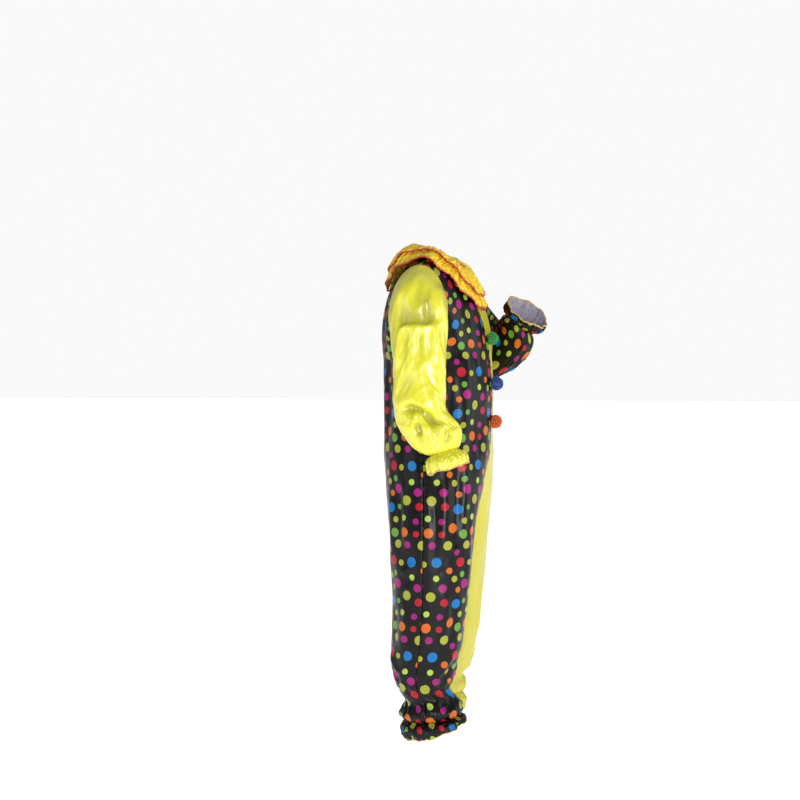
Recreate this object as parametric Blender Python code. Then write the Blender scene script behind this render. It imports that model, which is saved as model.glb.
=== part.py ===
"""Two-tone clown jumpsuit, held in the pose in which it is worn: a hollow garment of cut panels.

Lengths are in metres. A point of the garment is worked out as (out, ahead, height): out from the
centre plane towards that side's arm, ahead towards the front, height above the ground the wearer
stands on. place() turns that into the part's frame: the front faces -Y, the wearer's left is +X,
and the origin is where the shoulders carry the garment.
"""

from collections import namedtuple

import bmesh
import bpy
import numpy as np

ORIGIN_HEIGHT = 1.475
CLOTH = 0.0018
TRIM_CLOTH = 0.0022
SEAM = 0.0003
HALF_SEAM = SEAM / 2 + 0.00005
RIGHT, LEFT = -1, 1
FRONT, BACK = 1, -1

# Neck opening: a ring tilted forward, and where the shoulder seam leaves it.
NECK_OUT = 0.077
NECK_AHEAD = 0.0245
NECK_REACH = 0.0565
NECK_HEIGHT = 1.505
NECK_DROP = 0.0295
SHOULDER_TURN = np.radians(100.0)

# Armhole: an upright oval. Its top is the end of the shoulder seam.
ARMHOLE_OUT = 0.200
ARMHOLE_DISH = 0.012
ARMHOLE_AHEAD = -0.007
ARMHOLE_REACH = {FRONT: 0.076, BACK: 0.094}
ARMHOLE_MIDDLE = 1.3325
ARMHOLE_HALF = 0.1325

YOKE_ROWS = 8
PANEL_COLUMNS = 7
NECK_COLUMNS = 3

# How far the left front swells over the chest, where the raised arm draws it out.
CHEST_SWELL = {RIGHT: 0.004, LEFT: 0.018}

# Centre-front and centre-back outline of the yoke, from the underarm up to the neck.
Profile = namedtuple("Profile", "height reach")
YOKE_PROFILE = {
    FRONT: [
        Profile(1.2000, 0.1655),
        Profile(1.2350, 0.1600),
        Profile(1.2700, 0.1510),
        Profile(1.3200, 0.1345),
        Profile(1.3900, 0.1090),
        Profile(1.4755, 0.0810),
    ],
    BACK: [
        Profile(1.2000, 0.1640),
        Profile(1.2900, 0.1635),
        Profile(1.3500, 0.1590),
        Profile(1.4000, 0.1470),
        Profile(1.4500, 0.1190),
        Profile(1.4950, 0.0780),
        Profile(1.5345, 0.0320),
    ],
}

# Body and leg sections from underarm to ankle elastic. side is the outermost reach, front and back
# are the reach of each half, and centre is the middle of that half's oval: 0 where the trunk is one
# oval, and the middle of the leg lower down. tilt lifts the front of a section and drops its back.
# The left foot is set further back than the right one, so each leg has its own lower rows.
Section = namedtuple("Section", "height side front back centre tilt")
TRUNK = [
    Section(1.200, 0.198, 0.1655, 0.164, 0.0000, 0.000),
    Section(1.100, 0.202, 0.1710, 0.164, 0.0000, 0.000),
    Section(0.960, 0.209, 0.1675, 0.162, 0.0000, 0.000),
    Section(0.903, 0.214, 0.1660, 0.157, 0.0320, 0.000),
    Section(0.855, 0.219, 0.1600, 0.148, 0.0580, 0.000),
    Section(0.810, 0.223, 0.1550, 0.140, 0.0800, 0.000),
    Section(0.770, 0.227, 0.1495, 0.132, 0.0975, 0.000),
    Section(0.740, 0.231, 0.1450, 0.126, 0.1105, 0.000),
    Section(0.720, 0.233, 0.1420, 0.123, 0.1165, 0.000),
    Section(0.680, 0.236, 0.1380, 0.118, 0.1230, 0.000),
    Section(0.594, 0.235, 0.1300, 0.114, 0.1260, 0.000),
    Section(0.488, 0.230, 0.1200, 0.107, 0.1270, 0.000),
    Section(0.404, 0.227, 0.1090, 0.110, 0.1270, 0.000),
]
LOWER_LEG = {
    RIGHT: [
        Section(0.3300, 0.224, 0.099, 0.112, 0.1270, 0.000),
        Section(0.2770, 0.217, 0.081, 0.110, 0.1270, 0.000),
        Section(0.2380, 0.207, 0.069, 0.102, 0.1270, 0.000),
        Section(0.2080, 0.198, 0.062, 0.085, 0.1270, 0.003),
        Section(0.1845, 0.196, 0.081, 0.068, 0.1270, 0.006),
        Section(0.1607, 0.209, 0.101, 0.081, 0.1270, 0.008),
        Section(0.1430, 0.209, 0.100, 0.083, 0.1270, 0.008),
        Section(0.1300, 0.199, 0.093, 0.071, 0.1270, 0.008),
    ],
    LEFT: [
        Section(0.3300, 0.224, 0.101, 0.113, 0.1270, 0.000),
        Section(0.2770, 0.218, 0.092, 0.113, 0.1270, 0.000),
        Section(0.2380, 0.209, 0.084, 0.111, 0.1270, 0.000),
        Section(0.2080, 0.199, 0.070, 0.105, 0.1270, 0.000),
        Section(0.1880, 0.197, 0.052, 0.104, 0.1270, 0.000),
        Section(0.1680, 0.208, 0.060, 0.122, 0.1270, 0.000),
        Section(0.1450, 0.208, 0.059, 0.122, 0.1270, 0.000),
        Section(0.1300, 0.199, 0.045, 0.110, 0.1270, 0.000),
    ],
}
BODY = {side: TRUNK + LOWER_LEG[side] for side in (RIGHT, LEFT)}

# A tube's sections: outer and inner are its reach across, front and back its reach along, each from
# its own origin. rise lifts its outer side above its middle, and tilt lifts its front.
Ring = namedtuple("Ring", "height outer inner front back rise tilt")
ANKLE_FRILL = {
    RIGHT: [
        Ring(0.1300, 0.199, 0.055, 0.093, -0.071, 0.0, 0.008),
        Ring(0.1120, 0.212, 0.044, 0.109, -0.079, 0.0, 0.018),
        Ring(0.0890, 0.207, 0.047, 0.114, -0.067, 0.0, 0.029),
    ],
    LEFT: [
        Ring(0.1300, 0.199, 0.055, 0.045, -0.110, 0.0, 0.000),
        Ring(0.1100, 0.211, 0.045, 0.058, -0.123, 0.0, 0.000),
        Ring(0.0740, 0.208, 0.047, 0.056, -0.121, 0.0, 0.002),
    ],
}
RIGHT_SLEEVE = [
    Ring(1.295, 0.272, 0.209, 0.085, -0.090, 0.112, 0.000),
    Ring(1.225, 0.302, 0.209, 0.081, -0.077, 0.080, 0.000),
    Ring(1.150, 0.314, 0.210, 0.082, -0.068, 0.040, 0.000),
    Ring(1.085, 0.318, 0.212, 0.084, -0.067, 0.012, 0.000),
    Ring(1.030, 0.318, 0.213, 0.081, -0.063, 0.000, 0.006),
    Ring(0.978, 0.316, 0.216, 0.128, -0.034, 0.000, 0.013),
    Ring(0.944, 0.310, 0.219, 0.127, 0.002, 0.000, 0.014),
    Ring(0.925, 0.300, 0.224, 0.121, 0.038, 0.000, 0.011),
]
RIGHT_CUFF = [
    Ring(0.925, 0.300, 0.224, 0.121, 0.038, 0.000, 0.011),
    Ring(0.907, 0.312, 0.214, 0.141, 0.031, 0.000, 0.013),
    Ring(0.878, 0.313, 0.212, 0.149, 0.037, 0.000, 0.018),
]
LEFT_SLEEVE = [
    Ring(1.3000, 0.082, 0.019, 0.095, -0.085, 0.110, 0.045),
    Ring(1.2650, 0.112, 0.020, 0.110, -0.085, 0.070, 0.080),
    Ring(1.2350, 0.122, 0.020, 0.126, -0.060, 0.035, 0.098),
    Ring(1.2220, 0.124, 0.020, 0.135, 0.000, 0.012, 0.105),
    Ring(1.2220, 0.122, 0.018, 0.141, 0.070, 0.000, 0.104),
    Ring(1.2330, 0.114, 0.010, 0.147, 0.140, 0.000, 0.093),
    Ring(1.2475, 0.102, -0.002, 0.154, 0.200, 0.000, 0.080),
    Ring(1.2670, 0.086, -0.018, 0.165, 0.249, 0.000, 0.064),
    Ring(1.2910, 0.066, -0.034, 0.179, 0.276, 0.000, 0.047),
    Ring(1.3085, 0.045, -0.040, 0.195, 0.280, 0.000, 0.0315),
]
LEFT_CUFF = [
    Ring(1.3085, 0.045, -0.040, 0.195, 0.280, 0.000, 0.0315),
    Ring(1.3210, 0.064, -0.060, 0.193, 0.306, 0.000, 0.0420),
    Ring(1.3470, 0.090, -0.070, 0.206, 0.324, 0.020, 0.0480),
]

# A limb's own origin and heading: how far out its middle plane is, and how far it turns inwards.
Limb = namedtuple("Limb", "side out turn")
RIGHT_ARM = Limb(RIGHT, 0.0, 0.0)
LEFT_ARM = Limb(LEFT, 0.190, np.radians(13.0))
RIGHT_LEG = Limb(RIGHT, 0.0, 0.0)
LEFT_LEG = Limb(LEFT, 0.0, 0.0)

ARM_COLUMNS = 2 * YOKE_ROWS
FRILL_COLUMNS = 32
FRILL_WAVES = 8
CUFF_WAVE = 0.004
ANKLE_WAVE = 0.005
BINDING_WIDTH = 0.005

COLLAR_COLUMNS = 48
COLLAR_ROWS = 4
COLLAR_WAVES = 12
COLLAR_WAVE = 0.006
COLLAR_SLIT = np.radians(0.6)
COLLAR_LEAD = 0.010
TRIM_WIDTH = 0.005
NECK_BINDING_FOOT = 0.0008
NECK_BINDING_TOP = 0.0080
NECK_COLUMNS_ROUND = 24

# The collar's edge, from the centre front (turn 0) round either side to the centre back. crown is
# how far the full collar swells above the straight line from the neck seam to this edge, and share
# is how much of its width the upper tier covers.
Edge = namedtuple("Edge", "turn out ahead height crown share")
COLLAR_EDGE = [
    Edge(0, 0.000, 0.1430, 1.343, 0.005, 0.74),
    Edge(20, 0.062, 0.1350, 1.355, 0.006, 0.73),
    Edge(40, 0.117, 0.1090, 1.388, 0.008, 0.70),
    Edge(55, 0.151, 0.0760, 1.428, 0.010, 0.66),
    Edge(72, 0.177, 0.0430, 1.465, 0.011, 0.63),
    Edge(90, 0.187, 0.0020, 1.482, 0.013, 0.63),
    Edge(115, 0.172, -0.0620, 1.465, 0.024, 0.68),
    Edge(135, 0.140, -0.1010, 1.445, 0.032, 0.74),
    Edge(155, 0.085, -0.1350, 1.419, 0.036, 0.78),
    Edge(180, 0.000, -0.1550, 1.402, 0.036, 0.79),
]

# A collar tier's lift over the shoulders, at the neck seam and out on its skirt.
Tier = namedtuple("Tier", "seam_lift skirt_lift")
LOWER_TIER = Tier(0.0025, 0.0050)
UPPER_TIER = Tier(0.0050, 0.0140)
TIER_START = 0.04

# foot is how far ahead the ball is cut flat, clear of the cloth that it is sewn to.
Pompom = namedtuple("Pompom", "name height ahead radius foot")
POMPOMS = [
    Pompom("pompom_green", 1.2560, 0.1700, 0.0195, 0.1605),
    Pompom("pompom_blue", 1.1185, 0.1835, 0.0210, 0.1720),
    Pompom("pompom_orange", 1.0020, 0.1800, 0.0210, 0.1700),
]

# Colour, roughness and metallic value of each cloth.
Finish = namedtuple("Finish", "colour roughness metallic")
FINISHES = {
    "dotted_satin": Finish((0.020, 0.017, 0.020), 0.38, 0.0),
    "yellow_satin": Finish((0.85, 0.78, 0.03), 0.35, 0.0),
    "gold_ruffle": Finish((0.86, 0.62, 0.02), 0.40, 0.0),
    "red_trim": Finish((0.42, 0.03, 0.015), 0.55, 0.0),
    "gold_binding": Finish((0.62, 0.40, 0.08), 0.50, 0.0),
    "green_pile": Finish((0.03, 0.40, 0.06), 0.90, 0.0),
    "blue_pile": Finish((0.01, 0.06, 0.32), 0.90, 0.0),
    "orange_pile": Finish((0.80, 0.14, 0.01), 0.90, 0.0),
}


def clear_scene():
    """Removes whatever the scene holds."""
    for item in list(bpy.data.objects):
        bpy.data.objects.remove(item)


def material(name):
    """The named cloth as a Principled material, made once."""
    found = bpy.data.materials.get(name)
    if found:
        return found
    finish = FINISHES[name]
    made = bpy.data.materials.new(name)
    made.use_nodes = True
    shader = made.node_tree.nodes["Principled BSDF"]
    shader.inputs["Base Color"].default_value = (*finish.colour, 1.0)
    shader.inputs["Roughness"].default_value = finish.roughness
    shader.inputs["Metallic"].default_value = finish.metallic
    return made


def place(side, points):
    """(out, ahead, height) to the part's frame."""
    out, ahead, height = points[..., 0], points[..., 1], points[..., 2]
    return np.stack([side * out, -ahead, height - ORIGIN_HEIGHT], axis=-1)


def place_limb(limb, points):
    """(out, ahead, height) in a limb's own frame to the part's frame."""
    out, ahead, height = points[..., 0], points[..., 1], points[..., 2]
    across = limb.out + out * np.cos(limb.turn) - ahead * np.sin(limb.turn)
    along_limb = ahead * np.cos(limb.turn) + out * np.sin(limb.turn)
    return place(limb.side, np.stack([across, along_limb, height], axis=-1))


def unit(vectors):
    """Each vector at length 1."""
    return vectors / np.maximum(np.linalg.norm(vectors, axis=-1, keepdims=True), 1e-12)


def along(rows, column, places):
    """A column of a table as a smooth curve through its rows, at places along its first column."""
    knots = np.array([row[0] for row in rows], float)
    values = np.array([getattr(row, column) for row in rows])
    slopes = np.gradient(values, knots)
    index = np.clip(np.searchsorted(knots, places) - 1, 0, len(rows) - 2)
    width = knots[index + 1] - knots[index]
    t = (places - knots[index]) / width
    return (
        values[index] * (1 + 2 * t) * (1 - t) ** 2
        + values[index + 1] * (3 - 2 * t) * t * t
        + slopes[index] * width * t * (1 - t) ** 2
        + slopes[index + 1] * width * t * t * (t - 1)
    )


def normals_of(grid, loop, outward):
    """Unit normals of a grid of points: the cross product of its row and column directions, turned
    to agree with outward, a direction or an array of them."""
    down = np.gradient(grid, axis=0)
    if loop:
        across = np.roll(grid, -1, axis=1) - np.roll(grid, 1, axis=1)
    else:
        across = np.gradient(grid, axis=1)
    normals = unit(np.cross(down, across))
    return normals * np.sign(np.sum(normals * outward))


def away_from_middle(grid):
    """For a tube: the direction from each row's middle to each of its points."""
    return grid - grid.mean(axis=1, keepdims=True)


def solid(name, cloth, points, faces):
    """A named closed solid of these points and faces, with its faces turned outwards."""
    mesh = bpy.data.meshes.new(name)
    mesh.from_pydata(points.reshape(-1, 3).tolist(), [], faces)
    shape = bmesh.new()
    shape.from_mesh(mesh)
    bmesh.ops.recalc_face_normals(shape, faces=shape.faces)
    shape.to_mesh(mesh)
    shape.free()
    mesh.materials.append(material(cloth))
    made = bpy.data.objects.new(name, mesh)
    bpy.context.scene.collection.objects.link(made)
    return made


def wall(name, cloth, grid, normals, thickness=CLOTH, loop=False):
    """A sheet of cloth as a closed wall: the grid is its right side, and its wrong side lies
    thickness further in. loop joins the last column to the first, as round a tube."""
    rows, columns = grid.shape[:2]
    points = np.stack([grid, grid - normals * thickness])
    index = np.arange(points.size // 3).reshape(2, rows, columns)
    faces = []
    steps = columns if loop else columns - 1
    for column in range(steps):
        following = (column + 1) % columns
        for row in range(rows - 1):
            for face in (0, 1):
                corners = index[face]
                faces.append([
                    corners[row, column],
                    corners[row, following],
                    corners[row + 1, following],
                    corners[row + 1, column],
                ])
        for row in (0, rows - 1):
            faces.append([
                index[0, row, column],
                index[0, row, following],
                index[1, row, following],
                index[1, row, column],
            ])
    if not loop:
        for column in (0, columns - 1):
            for row in range(rows - 1):
                faces.append([
                    index[0, row, column],
                    index[0, row + 1, column],
                    index[1, row + 1, column],
                    index[1, row, column],
                ])
    return solid(name, cloth, points, [[int(i) for i in face] for face in faces])


def neck_ring(turn):
    """The neck seam at a turn round the neck from the centre front."""
    return np.stack([
        NECK_OUT * np.sin(turn),
        NECK_AHEAD + NECK_REACH * np.cos(turn),
        NECK_HEIGHT - NECK_DROP * np.cos(turn),
    ], axis=-1)


def armhole(face, share):
    """The armhole seam on the front or back panel, share 0 at the shoulder to 1 at the underarm."""
    turn = np.pi * share
    return np.stack([
        ARMHOLE_OUT - ARMHOLE_DISH * np.sin(turn),
        ARMHOLE_AHEAD + face * ARMHOLE_REACH[face] * np.sin(turn),
        ARMHOLE_MIDDLE + ARMHOLE_HALF * np.cos(turn),
    ], axis=-1)


def section_arc(section, face, shares):
    """A body section's arc on the front or back panel: from the centre plane, or from the inseam
    once the legs part, to the side seam. It is the part of the half's oval beyond the centre."""
    width = section.side - section.centre
    reach = (section.front + section.back) / 2
    middle = (section.front - section.back) / 2
    start = np.arccos(-min(section.centre / width, 1.0))
    turn = start * (1 - shares)
    return np.stack([
        section.centre + width * np.cos(turn),
        middle + face * reach * np.sin(turn),
        section.height + face * section.tilt * np.sin(turn),
    ], axis=-1)


def yoke_patch(side, face, shares_across, shares_down):
    """The panel above the underarm: a Coons patch between the neckline and shoulder seam, the
    centre line, the armhole and the underarm section, with a swell over the chest."""
    neck_share = NECK_COLUMNS / PANEL_COLUMNS
    centre_turn = 0.0 if face == FRONT else np.pi
    along_neck = np.clip(shares_across / neck_share, 0, 1)
    turn = centre_turn + (SHOULDER_TURN - centre_turn) * along_neck
    along_shoulder = np.clip((shares_across - neck_share) / (1 - neck_share), 0, 1)[:, None]
    shoulder_end = armhole(face, 0.0)
    top = neck_ring(turn) * (1 - along_shoulder) + shoulder_end * along_shoulder
    bottom = section_arc(TRUNK[0], face, shares_across)
    heights = top[0, 2] + (bottom[0, 2] - top[0, 2]) * shares_down
    reach = along(YOKE_PROFILE[face], "reach", heights)
    reach[0] = face * top[0, 1]
    reach[-1] = face * bottom[0, 1]
    centre = np.stack([np.zeros_like(reach), face * reach, heights], axis=-1)
    edge = armhole(face, shares_down)
    across = shares_across[None, :, None]
    down = shares_down[:, None, None]
    corners = (
        (1 - across) * (1 - down) * top[0]
        + across * (1 - down) * top[-1]
        + (1 - across) * down * bottom[0]
        + across * down * bottom[-1]
    )
    patch = (
        (1 - down) * top[None] + down * bottom[None]
        + (1 - across) * centre[:, None] + across * edge[:, None]
        - corners
    )
    if face == FRONT:
        swell = np.sin(np.pi * across[..., 0]) * np.sin(np.pi * down[..., 0])
        patch[..., 1] += CHEST_SWELL[side] * swell
    return patch


def panel_grid(side, face):
    """All of a front or back panel, shoulder to ankle elastic, as (out, ahead, height)."""
    across = np.linspace(0, 1, PANEL_COLUMNS + 1)
    yoke = yoke_patch(side, face, across, np.linspace(0, 1, YOKE_ROWS + 1))
    below = np.array([section_arc(section, face, across) for section in BODY[side][1:]])
    return np.concatenate([yoke, below])


def crotch_row():
    """The index of the panel row where the legs part."""
    parted = [s.centre >= s.side - s.centre for s in TRUNK]
    return YOKE_ROWS + parted.index(True)


def panel_wall_parts(side, face):
    """A panel's grid and normals, with both held to the seam's plane along each seam, so that two
    panels meet face to face, half a seam gap back from the seam itself."""
    grid = panel_grid(side, face)
    outward = np.array([0.0, face, 0.0])
    normals = normals_of(grid, False, outward)
    crotch = crotch_row()
    seam = YOKE_ROWS
    normals[: crotch + 1, 0, 0] = 0.0
    normals[crotch:, 0, 1] = 0.0
    normals[seam:, -1, 1] = 0.0
    normals[0, NECK_COLUMNS:, 1] = 0.0
    normals[crotch, 0] = (0.0, 0.0, -1.0)
    normals = unit(normals)
    grid[: crotch + 1, 0, 0] += HALF_SEAM
    grid[crotch:, 0, 1] += face * HALF_SEAM
    grid[seam:, -1, 1] += face * HALF_SEAM
    grid[0, NECK_COLUMNS:, 1] += face * HALF_SEAM
    return grid, normals


def mirror_normals(side, normals):
    """Directions in (out, ahead, height) to directions in the part's frame."""
    return normals * np.array([side, -1.0, 1.0])


def body_panel(name, cloth, side, face):
    """One front or back panel with its leg."""
    grid, normals = panel_wall_parts(side, face)
    return wall(name, cloth, place(side, grid), mirror_normals(side, normals))


def armhole_edge(side):
    """The loop of the armhole seam as the two panels leave it, its normals, and the direction that
    runs out of the panels across it. It starts at the shoulder and goes down the front."""
    loops = []
    for face in (FRONT, BACK):
        grid, normals = panel_wall_parts(side, face)
        rows = slice(0, YOKE_ROWS + 1)
        across = unit(grid[rows, -1] - grid[rows, -2])
        loops.append((armhole(face, np.linspace(0, 1, YOKE_ROWS + 1)), normals[rows, -1], across))
    front, back = loops
    edge = []
    for ahead, behind in zip(front, back):
        shared_top = (ahead[:1] + behind[:1]) / 2
        shared_foot = (ahead[-1:] + behind[-1:]) / 2
        edge.append(np.concatenate([shared_top, ahead[1:-1], shared_foot, behind[-2:0:-1]]))
    points, normals, across = edge
    return (
        place(side, points),
        unit(mirror_normals(side, normals)),
        unit(mirror_normals(side, across)),
    )


def ring_points(ring, turns):
    """A tube section: an oval from the outer side (turn 0) round by the front."""
    return np.stack([
        (ring.outer + ring.inner) / 2 + (ring.outer - ring.inner) / 2 * np.cos(turns),
        (ring.front + ring.back) / 2 + (ring.front - ring.back) / 2 * np.sin(turns),
        ring.height + ring.rise * np.cos(turns) + ring.tilt * np.sin(turns),
    ], axis=-1)


def tube_grid(limb, rings, columns):
    """The rings of a tube in the part's frame."""
    turns = np.linspace(0, 2 * np.pi, columns, endpoint=False)
    return place_limb(limb, np.array([ring_points(ring, turns) for ring in rings]))


def sleeve(name, cloth, arm, rings):
    """A set-in sleeve: its head follows the armhole, a seam's gap further out, and its foot is the
    ring that the wrist elastic draws in."""
    head, head_normals, across = armhole_edge(arm.side)
    grid = tube_grid(arm, rings, ARM_COLUMNS)
    grid = np.concatenate([(head + across * SEAM * 2)[None], grid])
    normals = normals_of(grid, True, away_from_middle(grid))
    normals[0] = head_normals
    return wall(name, cloth, grid, normals, loop=True)


def wave(turns, waves):
    """Gathers round an edge, from -1 to 1, uneven in spacing and depth."""
    bend = 0.9 * np.sin(2 * turns + 0.5) + 0.6 * np.sin(3 * turns + 2.1)
    depth = 0.75 + 0.25 * np.sin(5 * turns + 1.0)
    return depth * np.cos(waves * turns + bend)


def frill_parts(limb, rings, depth):
    """A gathered frill below an elastic and the binding on its hem: the tube through the rings,
    waved more and more towards the hem. Returns grid and normals of each."""
    turns = np.linspace(0, 2 * np.pi, FRILL_COLUMNS, endpoint=False)
    grid = tube_grid(limb, rings, FRILL_COLUMNS)
    normals = normals_of(grid, True, away_from_middle(grid))
    growth = np.linspace(0, 1, len(rings))[:, None, None]
    grid = grid + normals * growth * depth * wave(turns, FRILL_WAVES)[None, :, None]
    run = grid[-1] - grid[-2]
    length = np.linalg.norm(run, axis=-1, keepdims=True)
    direction = run / length
    hem = grid[-1]
    frill = np.concatenate([grid[:-1], (hem - direction * (BINDING_WIDTH + SEAM))[None]])
    frill[0] = frill[0] + unit(frill[1] - frill[0]) * SEAM
    binding = np.stack([hem - direction * BINDING_WIDTH, hem])
    frill_normals = normals_of(frill, True, away_from_middle(frill))
    frill_normals[0] = normals_of(grid, True, away_from_middle(grid))[0]
    binding_normals = np.stack([frill_normals[-1], frill_normals[-1]])
    return frill, frill_normals, binding, binding_normals


def frill(name, cloth, binding_cloth, limb, rings, depth):
    """A frill and its hem binding, as two walls."""
    grid, normals, binding, binding_normals = frill_parts(limb, rings, depth)
    wall(f"{name}_frill", cloth, grid, normals, loop=True)
    wall(f"{name}_binding", binding_cloth, binding, binding_normals, TRIM_CLOTH, loop=True)


def collar_edge(turns):
    """The outer edge of the full collar at turns round the neck from the front, and its crown and
    the upper tier's share there."""
    mirrored = [row._replace(turn=-row.turn, out=-row.out) for row in COLLAR_EDGE[1:3]]
    beyond = [row._replace(turn=360 - row.turn, out=-row.out) for row in COLLAR_EDGE[-3:-1]]
    rows = mirrored[::-1] + COLLAR_EDGE + beyond[::-1]
    degrees = np.degrees(np.abs(turns))
    points = np.stack([
        along(rows, "out", degrees) * np.sign(turns),
        along(rows, "ahead", degrees) + COLLAR_LEAD * np.sin(turns),
        along(rows, "height", degrees),
    ], axis=-1)
    return points, along(rows, "crown", degrees), along(rows, "share", degrees)


def collar_grid(tier, turns, shares):
    """Part of a collar tier: from the neck seam to the collar's edge in a rounded crown, lifted off
    the shoulders and waved more and more outwards. shares has a column for each turn."""
    edge, crown, _ = collar_edge(turns)
    neck = neck_ring(turns)
    width = shares[..., None]
    line = neck[None] * (1 - width) + edge[None] * width
    up = unit(np.cross(unit(edge - neck), unit(np.gradient(edge + neck, axis=0))))
    up = up * np.sign(up[..., 2:3])
    settle = np.clip(width / 0.35, 0, 1)
    lift = tier.seam_lift + (tier.skirt_lift - tier.seam_lift) * settle * settle * (3 - 2 * settle)
    lift = lift + crown[None, :, None] * np.sin(np.pi * width ** 0.8)
    lift = lift + COLLAR_WAVE * width * wave(turns, COLLAR_WAVES)[None, :, None]
    return line + up[None] * lift


def collar_tier(name, cloth, trim_cloth, tier, full):
    """One gathered tier, open at the centre back, and the trim along its edge. full is whether it
    has the whole of the collar's width or the upper tier's share of it."""
    turns = np.linspace(-np.pi + COLLAR_SLIT, np.pi - COLLAR_SLIT, COLLAR_COLUMNS + 1)
    edge, _, share = collar_edge(turns)
    share = np.ones_like(share) if full else share
    width = np.linalg.norm(edge - neck_ring(turns), axis=-1)
    cloth_end = share - (TRIM_WIDTH + SEAM) / width
    rows = np.linspace(0, 1, COLLAR_ROWS)[:, None]
    tier_shares = TIER_START + (cloth_end - TIER_START) * rows
    trim_shares = np.stack([share - TRIM_WIDTH / width, share])
    grid = place(LEFT, collar_grid(tier, turns, np.concatenate([tier_shares, trim_shares])))
    normals = normals_of(grid, False, np.array([0.0, 0.0, 1.0]))
    wall(name, cloth, grid[:COLLAR_ROWS], normals[:COLLAR_ROWS])
    wall(f"{name}_trim", trim_cloth, grid[COLLAR_ROWS:], normals[COLLAR_ROWS:], TRIM_CLOTH)


def neck_binding():
    """The narrow red binding that stands round the neck opening, inside the collar."""
    reach = np.pi - COLLAR_SLIT
    turns = np.linspace(-reach, reach, NECK_COLUMNS_ROUND + 1)
    ring = place(LEFT, neck_ring(turns))
    lean = unit(np.array([0.0, -NECK_DROP, NECK_REACH]))
    grid = np.stack([ring + lean * NECK_BINDING_FOOT, ring + lean * NECK_BINDING_TOP])
    normals = normals_of(grid, False, away_from_middle(grid))
    wall("neck_binding", "red_trim", grid, normals, TRIM_CLOTH)


def pompom(spec, cloth):
    """A cut-yarn ball, flattened where it is sewn to the front."""
    shape = bmesh.new()
    bmesh.ops.create_icosphere(shape, subdivisions=3, radius=spec.radius)
    foot = spec.ahead - spec.foot
    for vertex in shape.verts:
        vertex.co.y = min(vertex.co.y, foot)
        vertex.co.y -= spec.ahead
        vertex.co.z += spec.height - ORIGIN_HEIGHT
    points = np.array([vertex.co[:] for vertex in shape.verts])
    faces = [[vertex.index for vertex in face.verts] for face in shape.faces]
    shape.free()
    solid(spec.name, cloth, points, faces)


def main():
    clear_scene()
    body_panel("front_right", "dotted_satin", RIGHT, FRONT)
    body_panel("back_right", "dotted_satin", RIGHT, BACK)
    body_panel("front_left", "yellow_satin", LEFT, FRONT)
    body_panel("back_left", "yellow_satin", LEFT, BACK)
    sleeve("sleeve_right", "yellow_satin", RIGHT_ARM, RIGHT_SLEEVE)
    sleeve("sleeve_left", "dotted_satin", LEFT_ARM, LEFT_SLEEVE)
    frill("cuff_right", "yellow_satin", "gold_binding", RIGHT_ARM, RIGHT_CUFF, CUFF_WAVE)
    frill("cuff_left", "dotted_satin", "gold_binding", LEFT_ARM, LEFT_CUFF, CUFF_WAVE)
    frill("ankle_right", "dotted_satin", "gold_binding", RIGHT_LEG, ANKLE_FRILL[RIGHT], ANKLE_WAVE)
    frill("ankle_left", "yellow_satin", "gold_binding", LEFT_LEG, ANKLE_FRILL[LEFT], ANKLE_WAVE)
    collar_tier("collar_lower", "gold_ruffle", "red_trim", LOWER_TIER, full=True)
    collar_tier("collar_upper", "gold_ruffle", "red_trim", UPPER_TIER, full=False)
    neck_binding()
    for spec in POMPOMS:
        pompom(spec, spec.name.replace("pompom_", "") + "_pile")


main()
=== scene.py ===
"""Looks for the clown jumpsuit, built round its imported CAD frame.

Every cloth piece is a grid of points worked out from the same tables as its solid: out from the
wearer's centre plane towards that side's arm, ahead towards the front, and height above the ground
the wearer stands on, in metres. Creases are lifted or sunk along the cloth's normals.
"""

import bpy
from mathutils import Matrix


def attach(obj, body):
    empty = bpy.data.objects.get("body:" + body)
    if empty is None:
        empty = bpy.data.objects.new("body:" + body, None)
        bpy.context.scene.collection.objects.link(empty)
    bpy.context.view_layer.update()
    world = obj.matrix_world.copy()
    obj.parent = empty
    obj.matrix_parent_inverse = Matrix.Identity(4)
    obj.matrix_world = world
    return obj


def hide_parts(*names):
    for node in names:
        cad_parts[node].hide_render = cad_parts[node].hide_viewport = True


bl_info = {
    "name": "Clown jumpsuit",
    "version": (1, 0, 0),
    "blender": (4, 5, 0),
    "location": "View3D > Sidebar > Jumpsuit",
    "description": "Builds the cloth, collar, frills and pompoms of a two-tone clown jumpsuit",
    "category": "Add Mesh",
}

from collections import namedtuple

import bmesh
import bpy
import numpy as np
from mathutils import Vector

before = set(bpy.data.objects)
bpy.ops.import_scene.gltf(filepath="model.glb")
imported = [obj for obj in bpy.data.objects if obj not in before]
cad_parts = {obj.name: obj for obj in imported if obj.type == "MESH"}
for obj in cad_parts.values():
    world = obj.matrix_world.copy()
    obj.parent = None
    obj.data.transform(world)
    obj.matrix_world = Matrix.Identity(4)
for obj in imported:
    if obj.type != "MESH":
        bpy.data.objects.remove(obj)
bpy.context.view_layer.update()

ORIGIN_HEIGHT = 1.475
RIGHT, LEFT = -1, 1
FRONT, BACK = 1, -1

NECK_OUT = 0.077
NECK_AHEAD = 0.0245
NECK_REACH = 0.0565
NECK_HEIGHT = 1.505
NECK_DROP = 0.0295
SHOULDER_TURN = np.radians(100.0)
NECK_SHARE = 3 / 7

ARMHOLE_OUT = 0.200
ARMHOLE_DISH = 0.012
ARMHOLE_AHEAD = -0.007
ARMHOLE_REACH = {FRONT: 0.076, BACK: 0.094}
ARMHOLE_MIDDLE = 1.3325
ARMHOLE_HALF = 0.1325
UNDERARM = 1.200

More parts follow.
